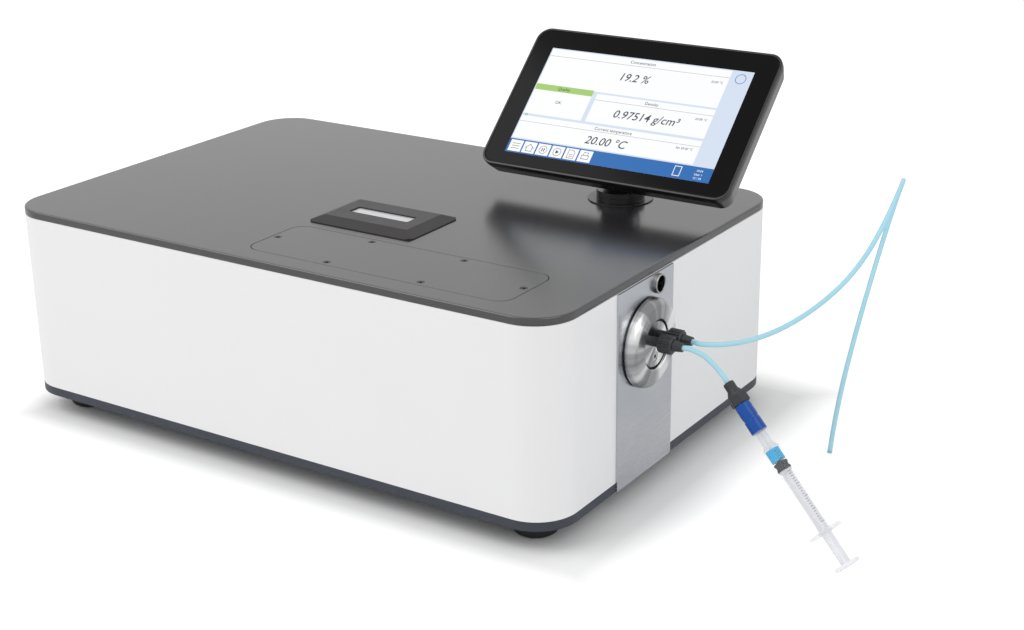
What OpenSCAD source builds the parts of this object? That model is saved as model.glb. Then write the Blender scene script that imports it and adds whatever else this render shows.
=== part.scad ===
// Benchtop density meter.
// A white sheet shell stands between a dark tray and a dark cover. A steel port flange on the
// right side leads to a thermostatted glass U-tube, and a tilting touch display stands on a
// column. Two fluid tubes and a sample syringe are screwed to the ports.
//
// Everything is laid out from the middle of the housing's footprint, with z = 0 on the bench:
// +X is the port side, -Y the front. The last step moves it so that the origin is the middle
// of the whole instrument's footprint.

/* [Housing] */
// Width of the housing, left to right
body_w = 430; // [415:1:460]
// Depth of the housing, front to back
body_d = 288; // [280:1:310]
// Height of the white side shell
shell_h = 121; // [118:1:135]
// Radius of the housing's upright corners
corner_r = 27.5; // [22:0.5:32]
// Sheet thickness of the side shell
shell_t = 2; // [1.2:0.1:3]
// Thickness of the top cover
cover_t = 5; // [4:0.5:8]
// Bevel round the cover's top edge
cover_edge = 1.2; // [0.6:0.1:2]
// Height of the tray's visible rim
rim_h = 6; // [5:0.5:10]
// Thickness of the tray's floor
tray_floor = 2; // [1.5:0.1:3]
// Height of the lip that locates the shell on the tray
lip_h = 8; // [4:0.5:12]
// Wall of that lip
lip_t = 1.5; // [1:0.1:2.5]

/* [Feet] */
// Diameter of a rubber foot
foot_d = 29; // [24:0.5:34]
// Height of a rubber foot
foot_h = 8.5; // [7:0.5:14]
// Distance of a foot's axis from the housing's sides
foot_inset = 30; // [26:1:40]
// Diameter of the tray's raised boss over a foot
boss_d = 39; // [36:0.5:44]
// Height of that boss
boss_h = 6; // [3:0.5:9]
// Diameter of the posts that join tray and cover
post_d = 12; // [9:0.5:16]

/* [Access plate and window] */
// Length of the access plate in the cover
access_w = 193.5; // [170:0.5:200]
// Width of the access plate
access_d = 54; // [44:0.5:58]
// Thickness of the access plate
access_t = 2; // [1.5:0.1:2.5]
// Corner radius of the access plate
access_r = 10; // [6:0.5:14]
// Distance of the access plate's middle from the port side
access_side = 137; // [130:0.5:150]
// Distance of the access plate's middle from the front
access_front = 42.5; // [36:0.5:43]
// Distance of a screw from the plate's edge
access_screw_inset = 4.5; // [4:0.1:6]
// Radius of an access plate screw's head
access_head_r = 2.3; // [2.2:0.1:2.9]
// Spacing of the middle screws on each long side
access_screw_pitch = 70; // [40:1:100]
// Distance of the window's middle from the port side
window_side = 193.5; // [190:0.5:197]
// Outer width of the window bezel
bezel_w = 82; // [76:0.5:90]
// Outer depth of the window bezel
bezel_d = 54.5; // [50:0.5:60]
// Height of the window bezel above the cover
bezel_h = 4; // [3:0.1:6]
// Width of the bezel's sloped side, seen from above
bezel_slope = 8; // [5:0.5:9]
// Height of the bezel's upright edge
bezel_edge = 0.6; // [0.4:0.1:1.5]
// Corner radius of the bezel's foot
bezel_r = 5; // [3:0.5:8]
// Width of the window
window_w = 46.5; // [36:0.5:50]
// Depth of the window
window_d = 11; // [9:0.5:13]
// Thickness of the window glass
window_t = 1.5; // [1:0.1:2]

/* [Port side] */
// Width of the steel panel on the right side
panel_w = 67; // [62:1:80]
// Thickness of the steel panel
panel_t = 1.2; // [0.8:0.1:2]
// Distance of the panel's middle in front of the housing's middle
panel_y = -38; // [-50:1:-30]
// Distance of the flange's middle below the cover
flange_drop = 40.5; // [38:0.5:42]
// Diameter of the port flange
flange_d = 56; // [52:0.5:60]
// Thickness of the port flange
flange_t = 8.2; // [7.6:0.1:10]
// Diameter of the port disc in the flange
disc_d = 28.8; // [27:0.1:30]
// Width of the dark gap round the port disc
disc_gap = 1; // [0.6:0.1:1.5]
// Distance between the two ports
port_pitch = 11.8; // [11.7:0.1:13]
// Height of the ports above the flange's middle
port_rise = 4; // [2:0.5:5]
// Diameter of an air port tube
air_d = 12.2; // [10:0.1:12.6]
// Place of the air port from the flange's middle, along and up
air_at = [13.5, 33.5];

/* [Port nuts and tubes] */
// Diameter of a nut's grip
nut_d = 11.4; // [10:0.1:11.5]
// Length of a nut's grip
nut_grip = 9.5; // [7:0.1:12]
// Length of bare stem between disc and grip
nut_stem = 6; // [4:0.1:8]
// Length of the collar that the tube leaves
nut_collar = 6; // [4:0.1:9]
// Ridges round a nut's grip
nut_ridges = 18; // [12:1:24]
// Outer diameter of the fluid tubes
tube_d = 3.2; // [2.8:0.1:3.3]

/* [Syringe] */
// Outer diameter of the syringe barrel
barrel_d = 10.6; // [9.5:0.1:12]
// Length of the syringe barrel
barrel_l = 60; // [50:1:64]
// Wall of the syringe barrel
barrel_t = 0.9; // [0.7:0.1:1.2]
// How far the plunger stands out of the barrel
plunger_out = 22; // [16:1:26]
// Diameter of the plunger's thumb rest
thumb_d = 15.6; // [12:0.1:16]
// Angle of the syringe above the bench
syringe_lean = 42.2; // [40:0.1:50]

/* [Display] */
// Width of the display housing
display_w = 187; // [180:1:196]
// Height of the display housing
display_h = 113; // [108:1:118]
// Thickness of the display housing
display_t = 16; // [15:0.5:18]
// Corner radius of the display housing
display_r = 10; // [7:0.5:14]
// Lean of the screen back from upright, in degrees
display_lean = 46.8; // [40:0.1:60]
// Distance of the column's axis from the port side
column_side = 86; // [80:0.5:92]
// Distance of the column's axis from the rear
column_rear = 61.5; // [58:0.5:68]
// Diameter of the column
column_d = 32.5; // [30:0.5:36]
// Height of the tilt hinge above the cover
hinge_h = 15.6; // [15:0.1:18]
// Diameter of the tilt pin
hinge_pin_d = 6; // [5:0.1:7]

/* [Measuring cell] */
// Length of the thermostat block
block_l = 196; // [190:1:200]
// Width of the thermostat block
block_w = 60; // [50:1:64]
// Height of the thermostat block
block_h = 58; // [50:1:60]
// Outer diameter of the glass jacket
jacket_d = 24; // [22:0.5:26]
// Outer diameter of the measuring U-tube
cell_tube_d = 3.2; // [3:0.1:3.6]
// Depth of the heat sink's fins
fin_h = 26; // [18:1:28]
// Distance of the block's end from the shell's port side
block_gap = 31; // [29:0.5:34]

/* [Rear] */
// Width of the rear opening in the shell
rear_w = 330; // [320:1:336]
// Height of the rear opening
rear_h = 84; // [80:1:88]
// Side of the square fan
fan_w = 60; // [56:1:64]
// Blades on the fan's rotor
fan_blades = 7; // [5:1:9]

/* [Hidden] */
$fn = 64;

// Clearances
fit = 0.2;          // between parts that are pushed together and stay
run = 0.05;         // round a shaft, pin or thread that turns
slide = 0.3;        // between faces that pass each other
hairline = 0.3;     // round the access plate
eps = 0.01;

// Levels above the bench
z_tray = foot_h + boss_h;
z_floor = z_tray + tray_floor;
z_shell = z_tray + rim_h;
z_cover = z_shell + shell_h;
z_top = z_cover + cover_t;

// Screws
m3_r = 1.5;
m3_head_r = 2.9;
m25_r = 1.25;
m4_r = 1.95;
m4_head_r = 3.6;
foot_bore = 4;      // depth of the recess that hides a foot's screw

// Port side
x_panel = body_w / 2 + panel_t;
port_axis_z = z_cover - flange_drop;
x_disc = x_panel + flange_t - 1.7;
port_z = port_axis_z + port_rise;
port_ys = [panel_y - port_pitch / 2, panel_y + port_pitch / 2];
nut_stub_r = 2.95;
nut_thread = 5.6;   // depth of a port's thread
x_grip = x_disc + nut_stem;
x_collar = x_grip + nut_grip;
x_exit = x_collar + nut_collar;
stem_r = disc_d / 2 - 1.6;
air_y = panel_y + air_at[0];
air_z = port_axis_z + air_at[1];

// Measuring cell
x_block = body_w / 2 - shell_t - block_gap;
bore_r = jacket_d / 2 + fit;
leg_r = cell_tube_d / 2;
block_wall = 4;
z_block = port_z - block_h / 2 - 1;
z_sink = z_block - 3.8;
sink_base = 6;
// Places on the cover
access_at = [body_w / 2 - access_side, access_front - body_d / 2];
bezel_at = [body_w / 2 - window_side, panel_y - 1];
column_at = [body_w / 2 - column_side, body_d / 2 - column_rear];

// Display, from the hinge pin
hinge_back = 9;     // hinge pin behind the housing's back
hinge_drop = 33.8;  // hinge pin below the screen's middle
hinge_at = [column_at[0], column_at[1], z_top + hinge_h];
tongue_r = hinge_pin_d / 2 + 3.4;
tongue_t = 12;
swivel_r = 8;
z_head = z_top + 3.3;
head_h = 3.7;
display_rise = 2.5; // housing's middle above the screen's middle

// Rear
y_rear = body_d / 2 - shell_t;   // outer face of the rear panel
rear_t = 2;
rear_lap = 7;
rear_z = z_shell + shell_h / 2;
fan_at = [-125, rear_z];
inlet_at = [135, rear_z - 18];
switch_at = [88, rear_z - 18];
board_top = z_shell + 34;
lan_x = -28;
usb_x = 8;

// Syringe: the thumb rest's middle stands at thumb_at, and the axis runs up to the tube
thumb_at = [364.5, -68.6, thumb_d / 2 * cos(syringe_lean) + 0.1];
syringe_turn = 165.4;
nozzle_l = 9;
socket_l = 19;
adapter_l = 15;
s_shoulder = plunger_out + barrel_l;
s_socket = s_shoulder + nozzle_l;
s_adapter = s_socket + socket_l;
s_end = s_adapter + adapter_l;
syringe_dir = [cos(syringe_lean) * cos(syringe_turn), cos(syringe_lean) * sin(syringe_turn),
               sin(syringe_lean)];

// Middle of the instrument without its tubes and syringe
guard_t = 2.4;
rear_head = 1.7;
mid_x = (x_exit - body_w / 2) / 2;
mid_y = rear_head / 2;

// ---------------------------------------------------------------- shapes

// A rectangle w by d with rounded corners
module rounded(w, d, r) {
    square([w - 2 * r, d], center = true);
    square([w, d - 2 * r], center = true);
    for (sx = [-1, 1], sy = [-1, 1])
        translate([sx * (w / 2 - r), sy * (d / 2 - r)]) circle(r);
}

module slab(w, d, h, r) linear_extrude(h) rounded(w, d, r);

// A slab whose sides lean in by `inset` over its height
module tapered_slab(w, d, h, r, inset) {
    for (sx = [-1, 1], sy = [-1, 1])
        translate([sx * (w / 2 - r), sy * (d / 2 - r), 0]) cylinder(r1 = r, r2 = r - inset, h = h);
    rotate([90, 0, 90]) linear_extrude(w - 2 * r, center = true)
        polygon([[-d / 2, 0], [d / 2, 0], [d / 2 - inset, h], [inset - d / 2, h]]);
    rotate([90, 0, 0]) linear_extrude(d - 2 * r, center = true)
        polygon([[-w / 2, 0], [w / 2, 0], [w / 2 - inset, h], [inset - w / 2, h]]);
}

// A slab with a bevelled top edge
module bevelled_slab(w, d, h, r, edge) {
    slab(w, d, h - edge, r);
    translate([0, 0, h - edge]) tapered_slab(w, d, edge, r, edge);
}

// Upright edges that lean in above
module slope(w, h, edge, inset) polygon([[-w / 2, 0], [w / 2, 0], [w / 2, edge], [w / 2 - inset, h],
    [inset - w / 2, h], [-w / 2, edge]]);

// A block with upright corners of radius r and four mitred slopes above its edge
module mitred_block(w, d, h, r, edge, inset) intersection() {
    slab(w, d, h, r);
    rotate([90, 0, 90]) linear_extrude(w, center = true)
        slope(d, h, edge, inset);
    rotate([90, 0, 0]) linear_extrude(d, center = true)
        slope(w, h, edge, inset);
}

// Children turned so that their +Z looks along +X
module along_x() rotate([0, 90, 0]) children();

// Children turned so that their +Z looks along +Y
module along_y() rotate([-90, 0, 0]) children();

// One copy over each foot
module at_feet(z) {
    for (sx = [-1, 1], sy = [-1, 1])
        translate([sx * (body_w / 2 - foot_inset), sy * (body_d / 2 - foot_inset), z]) children();
}

// A point moved to the place of the whole instrument
module placed() translate([-mid_x, -mid_y, 0]) children();

// ---------------------------------------------------------------- housing

module base_tray() color("#3f434b") placed() difference() {
    union() {
        translate([0, 0, z_tray]) slab(body_w, body_d, tray_floor, corner_r);
        at_feet(foot_h) cylinder(d = boss_d, h = boss_h + eps);
    }
    at_feet(foot_h - eps) cylinder(r = m4_r + fit, h = boss_h + tray_floor + 1);
    // air slots under the heat sink
    for (i = [-5 : 5])
        translate([x_block - block_l / 2 + i * 13, panel_y, z_tray - eps])
            slab(5, 70, tray_floor + 1, 2.4);
}

// Frame on the tray's edge: a rim under the shell and a lip inside it
module tray_rim() color("#3f434b") placed() difference() {
    union() {
        translate([0, 0, z_floor]) slab(body_w, body_d, z_shell - z_floor, corner_r);
        translate([0, 0, z_shell - eps])
            slab(body_w - 2 * (shell_t + fit), body_d - 2 * (shell_t + fit), lip_h + eps,
                 corner_r - shell_t - fit);
    }
    pocket = shell_t + fit + lip_t;
    translate([0, 0, z_floor - 1])
        slab(body_w - 2 * pocket, body_d - 2 * pocket, rim_h + lip_h + 1, corner_r - pocket);
}

module feet() color("#1c1c1e") placed() at_feet(0) rotate_extrude() polygon([
    [m4_r + fit, foot_h], [m4_r + fit, foot_bore], [m4_head_r + 0.9, foot_bore],
    [m4_head_r + 0.9, 0], [foot_d / 2 - 2.5, 0], [foot_d / 2 - 0.8, 1.6],
    [foot_d / 2, 3.5], [foot_d / 2, foot_h]]);

module foot_screws() color("#9a9da2") placed() at_feet(foot_bore) difference() {
    union() {
        translate([0, 0, -2.6]) cylinder(r = m4_head_r, h = 2.6);
        cylinder(r = m4_r, h = foot_h + boss_h + tray_floor - foot_bore + 12);
    }
    translate([0, 0, -2.6 - eps]) cylinder(r = 1.7, h = 1.6, $fn = 6);
}

module cover_posts() color("#b4b7bb") placed() at_feet(z_floor) difference() {
    cylinder(d = post_d, h = z_cover - z_floor);
    translate([0, 0, -eps]) cylinder(r = m4_r + run, h = 14);
}

// The white shell: front and side walls, four rounded corners, and a frame at the rear
wall_w = body_w - 2 * corner_r;
wall_d = body_d - 2 * corner_r;
module shell_walls() color("#e9e9ea") placed() difference() {
    union() {
        translate([-wall_w / 2, -body_d / 2, z_shell]) cube([wall_w, shell_t, shell_h]);
        for (x = [-body_w / 2, body_w / 2 - shell_t])
            translate([x, -wall_d / 2, z_shell]) cube([shell_t, wall_d, shell_h]);
    }
    translate([body_w / 2 - shell_t - 1, panel_y, port_axis_z]) along_x()
        cylinder(r = stem_r + 0.4, h = shell_t + 2);
    translate([body_w / 2 - shell_t - 1, air_y, air_z]) along_x()
        cylinder(r = air_d / 2 + fit, h = shell_t + 2);
}

module shell_corners() color("#e9e9ea") placed() for (i = [0 : 3])
    translate([(i == 1 || i == 2 ? -1 : 1) * wall_w / 2, (i < 2 ? 1 : -1) * wall_d / 2, z_shell])
        rotate(i * 90) rotate_extrude(angle = 90)
            translate([corner_r - shell_t, 0]) square([shell_t, shell_h]);

module shell_rear() color("#e9e9ea") placed() difference() {
    translate([-wall_w / 2, body_d / 2 - shell_t, z_shell]) cube([wall_w, shell_t, shell_h]);
    translate([0, body_d / 2 - shell_t - 1, rear_z]) along_y() slab(rear_w, rear_h, shell_t + 2, 4);
    at_rear_screws() along_y() translate([0, 0, -1]) cylinder(r = m3_r + fit, h = shell_t + 2);
}

module top_cover() color("#6e6e70") placed() difference() {
    translate([0, 0, z_cover]) bevelled_slab(body_w, body_d, cover_t, corner_r, cover_edge);
    // seat and opening of the access plate
    translate([access_at[0], access_at[1], z_top - access_t])
        slab(access_w + 2 * hairline, access_d + 2 * hairline, access_t + 1, access_r + hairline);
    translate([access_at[0], access_at[1], z_cover - 1])
        slab(access_w - 18, access_d - 18, cover_t + 2, 3);
    at_access_screws(z_cover - 1) cylinder(r = m25_r + 0.1, h = cover_t + 2);
    // window and column
    translate([bezel_at[0], bezel_at[1], z_cover - 1]) slab(window_w + 15, window_d + 15, cover_t + 2, 3);
    translate([column_at[0], column_at[1], z_cover - 1]) cylinder(r = column_d / 2 - 1, h = cover_t + 2);
}

// ---------------------------------------------------------------- access plate and window

module at_access_screws(z) {
    dx = access_w / 2 - access_screw_inset;
    dy = access_d / 2 - access_screw_inset;
    for (p = concat([[-dx, 0], [dx, 0]],
                    [for (sx = [-1, 1], sy = [-1, 1]) [sx * access_screw_pitch / 2, sy * dy]]))
        translate([access_at[0] + p[0], access_at[1] + p[1], z]) children();
}

module access_plate() color("#6b6b6d") placed() difference() {
    translate([access_at[0], access_at[1], z_top - access_t]) slab(access_w, access_d, access_t, access_r);
    at_access_screws(z_top - access_t - eps) {
        cylinder(r = m25_r + fit, h = access_t + 1);
        translate([0, 0, access_t - access_head_h + eps])
            cylinder(r1 = m25_r + fit, r2 = access_head_r + fit, h = access_head_h + eps);
    }
}

access_head_h = 1.2;
module access_screws() color("#2b2b2d") placed() at_access_screws(z_top - 0.15) difference() {
    union() {
        translate([0, 0, 0.05 - access_head_h])
            cylinder(r1 = m25_r, r2 = access_head_r, h = access_head_h - 0.05);
        translate([0, 0, -7]) cylinder(r = m25_r, h = 7 - access_head_h + 0.1);
    }
    translate([0, 0, -1]) cylinder(r = 1, h = 2, $fn = 6);
}

module window_bezel() color("#4c4748") placed() translate([bezel_at[0], bezel_at[1], z_top]) difference() {
    union() {
        mitred_block(bezel_w, bezel_d, bezel_h, bezel_r, bezel_edge, bezel_slope);
        translate([0, 0, -cover_t])
            slab(window_w + 15 - 2 * fit, window_d + 15 - 2 * fit, cover_t + 1, 3 - fit);
    }
    translate([0, 0, -cover_t - 1]) slab(window_w, window_d, cover_t + bezel_h + 2, 0.8);
    translate([0, 0, -cover_t - 1]) slab(window_w + 6, window_d + 6, cover_t + 1 + window_t, 1.5);
}

module window_glass() color("#c9ccd0") placed()
    translate([bezel_at[0], bezel_at[1], z_top])
        slab(window_w + 6 - 2 * fit, window_d + 6 - 2 * fit, window_t, 1.2);

// ---------------------------------------------------------------- port side

module side_panel() color("#a9aeb6") placed() difference() {
    translate([body_w / 2, panel_y - panel_w / 2, z_tray + 0.2])
        cube([panel_t, panel_w, z_cover - z_tray - 0.4]);
    translate([body_w / 2 - 1, panel_y, port_axis_z]) along_x() cylinder(r = stem_r + 0.4, h = panel_t + 2);
    translate([body_w / 2 - 1, air_y, air_z]) along_x() cylinder(r = air_d / 2 + fit, h = panel_t + 2);
}

// Turned ring with a shadow groove behind its rim, a round shoulder and a shallow conical face
module port_flange() color("#c4c6c8") placed() translate([x_panel, panel_y, port_axis_z]) along_x()
    rotate_extrude($fn = 96) polygon(concat(
        [[disc_d / 2 + disc_gap, 0], [flange_d / 2 - 3, 0], [flange_d / 2 - 3, 0.8], [flange_d / 2, 0.8]],
        [for (a = [0 : 15 : 75]) [flange_d / 2 - 4.6 + 4.6 * cos(a), 2.9 + 4.6 * sin(a)]],
        [[flange_d / 2 - 5.2, 7.5], [disc_d / 2 + disc_gap + 1.2, flange_t],
         [disc_d / 2 + disc_gap, flange_t - 0.9]]));

module port_disc() color("#b9bcc0") placed() difference() {
    translate([0, panel_y, port_axis_z]) along_x() {
        translate([0, 0, x_block]) cylinder(r = stem_r, h = x_panel - x_block + eps);
        translate([0, 0, x_panel]) cylinder(d = disc_d, h = x_disc - x_panel - 0.4);
        translate([0, 0, x_disc - 0.4]) cylinder(r1 = disc_d / 2, r2 = disc_d / 2 - 0.4, h = 0.4);
    }
    for (y = port_ys) translate([0, y, port_z]) along_x() {
        translate([0, 0, x_disc - nut_thread]) cylinder(r = nut_stub_r + run, h = nut_thread + 1);
        translate([0, 0, x_block - 1]) cylinder(r = 0.8, h = x_disc - x_block);
        translate([0, 0, x_block - 1]) cylinder(r = leg_r + run, h = 5);
    }
    translate([x_disc - 8, panel_y, port_axis_z - 8]) along_x() cylinder(r = m3_r + 0.1, h = 10);
    translate([x_disc - 2.2, panel_y, port_axis_z - 8]) along_x() cylinder(r = m3_head_r + 0.1, h = 3);
}

module port_screw() color("#8f9296") placed()
    translate([x_disc, panel_y, port_axis_z - 8]) along_x() difference() {
    union() {
        translate([0, 0, -2.2]) cylinder(r = m3_head_r, h = 2);
        translate([0, 0, -7.8]) cylinder(r = m3_r, h = 5.8);
    }
    translate([0, 0, -1.6]) cylinder(r = 1.3, h = 2, $fn = 6);
}

module air_port() color("#b4b6b9") placed() translate([0, air_y, air_z]) along_x() difference() {
    union() {
        translate([0, 0, body_w / 2 - shell_t - 12]) cylinder(d = air_d, h = 12 + shell_t + panel_t + 2.2);
        translate([0, 0, x_panel + 2.2]) cylinder(r1 = air_d / 2, r2 = air_d / 2 - 0.4, h = 0.4);
    }
    translate([0, 0, body_w / 2 - shell_t - 10]) cylinder(r = air_d / 2 - 1.2, h = 30);
}

module air_port_nut() color("#8f9296") placed()
    translate([body_w / 2 - shell_t - 4, air_y, air_z]) along_x() difference() {
        cylinder(d = air_d + 1.6, h = 4);
        translate([0, 0, -1]) cylinder(r = air_d / 2 + run, h = 6);
    }

// ---------------------------------------------------------------- port nuts

// A finger-tight nut: threaded stem, ridged grip and a slim collar, bored for the tube
module port_nut(y) color("#1f2123") placed() translate([0, y, port_z]) along_x() difference() {
    ridge = 360 / nut_ridges;
    union() {
        translate([0, 0, x_disc - nut_thread + fit]) cylinder(r = nut_stub_r, h = nut_thread + nut_stem);
        translate([0, 0, x_grip]) cylinder(r1 = nut_d / 2 - 1.2, r2 = nut_d / 2 - 0.4, h = 0.8);
        translate([0, 0, x_grip + 0.8]) linear_extrude(nut_grip - 1.6) polygon([
            for (i = [0 : nut_ridges - 1], k = [0 : 3])
                (nut_d / 2 - (k < 2 ? 0 : 0.5)) * [cos((i + k / 4) * ridge), sin((i + k / 4) * ridge)]]);
        translate([0, 0, x_collar - 0.8]) cylinder(r1 = nut_d / 2 - 0.4, r2 = nut_d / 2 - 1.2, h = 0.8);
        translate([0, 0, x_collar - eps]) cylinder(r1 = 3.4, r2 = 2.7, h = nut_collar + eps);
    }
    translate([0, 0, x_disc - nut_thread - 1])
        cylinder(r = tube_d / 2 + fit, h = x_exit - x_disc + nut_thread + 2);
}
module inlet_nut() port_nut(port_ys[0]);
module outlet_nut() port_nut(port_ys[1]);

// ---------------------------------------------------------------- fluid tubes

// Points of the free routes, chosen by hand, from the middle of the housing
inlet_route = [[250, -43, 104.5], [257, -42, 102], [264, -42.5, 98], [270, -44, 94]];
outlet_route = [
    [251, -33, 105], [257, -29, 105], [262, -23, 104.5], [267, -15, 104], [273, -6, 104],
    [279, 6, 105], [285, 18, 107.5], [290, 30, 111], [294, 42, 115.5], [298, 54, 121],
    [301, 66, 127.5], [304, 77, 134], [306, 87, 141], [308, 96, 149], [309, 105, 157],
    [310, 114, 165.5], [309, 124, 172], [307, 134, 173.5], [303, 142, 168.5],
    [300, 144, 159], [299, 141, 150], [298, 135, 140], [296, 130, 129], [295, 125, 118],
    [294, 119, 107], [294, 112, 92], [293, 105, 78], [293, 98, 64], [292, 91, 50],
    [292, 84, 36], [291, 79, 23], [291, 76, 11], [291, 75, 1]];

function unit(v) = v / norm(v);
// Middle of a span by the four points round it
function midway(p, i) = (9 * (p[i] + p[i + 1]) - p[i - 1] - p[i + 2]) / 16;
// The route with one more point in each inner span
function finer(p) = [for (i = [0 : len(p) - 1], k = [0, 1])
    if (k == 0) p[i] else if (i > 0 && i < len(p) - 2) midway(p, i)];
function heading(p, i) = unit(p[min(i + 1, len(p) - 1)] - p[max(i - 1, 0)]);
// A side vector carried along the route without twist
function sides_of(p, i = 0, s = [0, 0, 1]) = let (h = heading(p, i), t = unit(s - (s * h) * h))
    i == len(p) - 1 ? [t] : concat([t], sides_of(p, i + 1, t));

// A tube of n sides swept along the points p; its end faces look along `first` and `last`
module swept_tube(p, r, n, first, last) {
    side = sides_of(p);
    ring = [for (i = [0 : len(p) - 1]) let (
            h = i == 0 ? first : i == len(p) - 1 ? last : heading(p, i),
            a = unit(side[i] - (side[i] * h) * h), b = cross(h, a))
        for (k = [0 : n - 1]) p[i] + r * (cos(360 * k / n) * a + sin(360 * k / n) * b)];
    faces = concat(
        [[for (k = [0 : n - 1]) k]],
        [for (i = [0 : len(p) - 2], k = [0 : n - 1]) let (q = (k + 1) % n)
            each [[i * n + k, (i + 1) * n + q, i * n + q], [i * n + k, (i + 1) * n + k, (i + 1) * n + q]]],
        [[for (k = [n - 1 : -1 : 0]) (len(p) - 1) * n + k]]);
    polyhedron(ring, faces);
}

module inlet_tube() color("#bfe3ee") placed() swept_tube(
    concat([[x_disc - nut_thread + fit, port_ys[0], port_z], [x_exit, port_ys[0], port_z]],
           inlet_route, [thumb_at + (s_end - 4) * syringe_dir]),
    tube_d / 2, 8, [1, 0, 0], -syringe_dir);

module outlet_tube() color("#bfe3ee") placed() swept_tube(
    concat([[x_disc - nut_thread + fit, port_ys[1], port_z], [x_exit, port_ys[1], port_z]],
           finer(outlet_route)),
    tube_d / 2, 8, [1, 0, 0], [0, 0, -1]);

// ---------------------------------------------------------------- syringe

// Children on the syringe's axis, from the thumb rest up to the tube
module on_syringe() placed() translate(thumb_at) rotate([0, 90 - syringe_lean, syringe_turn]) children();

module luer_adapter() color("#26282b") on_syringe() translate([0, 0, s_adapter]) difference() {
    union() {
        cylinder(r = 5.3, h = 7, $fn = 6);
        translate([0, 0, 7 - eps]) cylinder(r1 = 3.2, r2 = 2.8, h = 2);
        translate([0, 0, 9 - eps]) cylinder(r = 4.2, h = 4.6);
        translate([0, 0, 13.6 - 2 * eps]) cylinder(r1 = 4.2, r2 = 3.2, h = adapter_l - 13.6);
    }
    translate([0, 0, adapter_l - 4.2]) cylinder(r = tube_d / 2 + 0.1, h = 5);
    translate([0, 0, -1]) cylinder(r = 0.8, h = adapter_l);
}

module luer_socket() color("#1f4ea0") on_syringe() translate([0, 0, s_socket]) difference() {
    union() {
        cylinder(r = 5.3, h = 3);
        translate([0, 0, 3 - eps]) cylinder(r1 = 5.3, r2 = 4.9, h = socket_l - 3);
    }
    translate([0, 0, -1]) cylinder(r = 2.5, h = 11);
    translate([0, 0, -1]) cylinder(r = 0.8, h = socket_l + 2);
}

module syringe_barrel() color("#e8ecef") on_syringe() difference() {
    union() {
        translate([0, 0, plunger_out]) cylinder(d = barrel_d, h = barrel_l - 3);
        translate([0, 0, s_shoulder - 3 - eps]) cylinder(r1 = barrel_d / 2, r2 = 3.4, h = 3 + eps);
        translate([0, 0, s_shoulder - eps]) cylinder(r1 = 3.3, r2 = 2.9, h = nozzle_l);
        translate([0, 0, s_socket - eps]) cylinder(r1 = 2.4, r2 = 2.1, h = 9);
        translate([0, 0, plunger_out]) intersection() {
            cylinder(r = 10.5, h = 1.8);
            translate([-10.5, -6.5, 0]) cube([21, 13, 1.8]);
        }
    }
    translate([0, 0, plunger_out - 1]) cylinder(r = barrel_d / 2 - barrel_t, h = barrel_l - 2.5);
    translate([0, 0, s_shoulder - 5]) cylinder(r = 1, h = nozzle_l + 20);
}

stopper_gap = 8;    // liquid's length ahead of the stopper
stopper_l = 6;
s_stopper = s_shoulder - 3.5 - stopper_gap - stopper_l;
module syringe_plunger() color("#f2f4f5") on_syringe() {
    cylinder(d = thumb_d, h = 1.8);
    rib = barrel_d - 2 * barrel_t - 1;
    for (a = [0, 90]) rotate(a)
        translate([-rib / 2, -0.6, 1.8 - eps]) cube([rib, 1.2, s_stopper - 1.8 - 1.2]);
    translate([0, 0, s_stopper - 1.2 - 2 * eps]) cylinder(d = rib, h = 1.2);
}

module plunger_stopper() color("#1a1a1c") on_syringe() translate([0, 0, s_stopper]) {
    seal = barrel_d / 2 - barrel_t - run;
    cylinder(r = seal, h = 1.4);
    translate([0, 0, 1.4 - eps]) cylinder(r = seal - 0.5, h = 2.4);
    translate([0, 0, 3.8 - 2 * eps]) cylinder(r = seal, h = 1.2);
    translate([0, 0, 5 - 3 * eps]) cylinder(r1 = seal, r2 = 1, h = 1);
}

// ---------------------------------------------------------------- measuring cell

module cell_block() color("#a7abb0") placed() difference() {
    translate([x_block - block_l, panel_y - block_w / 2, z_block]) cube([block_l, block_w, block_h]);
    translate([x_block - block_l - 1, panel_y, port_z]) along_x()
        cylinder(r = bore_r, h = block_l + 1 - block_wall);
    for (y = port_ys) translate([x_block - block_wall - 1, y, port_z]) along_x()
        cylinder(r = leg_r + fit, h = block_wall + 2);
    // slot that shows the bend of the U-tube through the window
    translate([bezel_at[0], bezel_at[1] + 1, port_z]) slab(window_w, window_d + 4, block_h, 2);
}

module cell_plug() color("#d8d8da") placed() translate([x_block - block_l, panel_y, port_z]) along_x() {
    cylinder(r = bore_r - run, h = 6);
    translate([0, 0, -3]) cylinder(r = bore_r + 3, h = 3);
}

module cell_jacket() color("#dfe8ec") placed() translate([0, panel_y, port_z]) along_x() difference() {
    translate([0, 0, x_block - block_l + 6]) cylinder(d = jacket_d, h = block_l - block_wall - 6);
    translate([0, 0, x_block - block_l + 7.5]) cylinder(d = jacket_d - 2.4, h = block_l);
}

// Two legs and a half-round bend, hollow all the way
module u_path(r) {
    x_bend = bezel_at[0] - window_w / 2 + 12;
    for (y = port_ys) translate([x_bend, y, port_z]) along_x() cylinder(r = r, h = x_block + 3.6 - x_bend);
    translate([x_bend, panel_y, port_z]) rotate([0, 0, 90])
        rotate_extrude(angle = 180) translate([port_pitch / 2, 0]) circle(r);
}
module u_tube() color("#e4eef2") placed() difference() {
    u_path(leg_r);
    u_path(leg_r - 0.6);
    for (y = port_ys) translate([x_block + 3, y, port_z]) along_x() cylinder(r = leg_r - 0.6, h = 2);
}

module peltier_plates() color("#e9e6df") placed()
    for (x = [x_block - 0.7 * block_l, x_block - 0.4 * block_l])
        translate([x, panel_y - 20, z_sink]) cube([40, 40, z_block - z_sink]);

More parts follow.
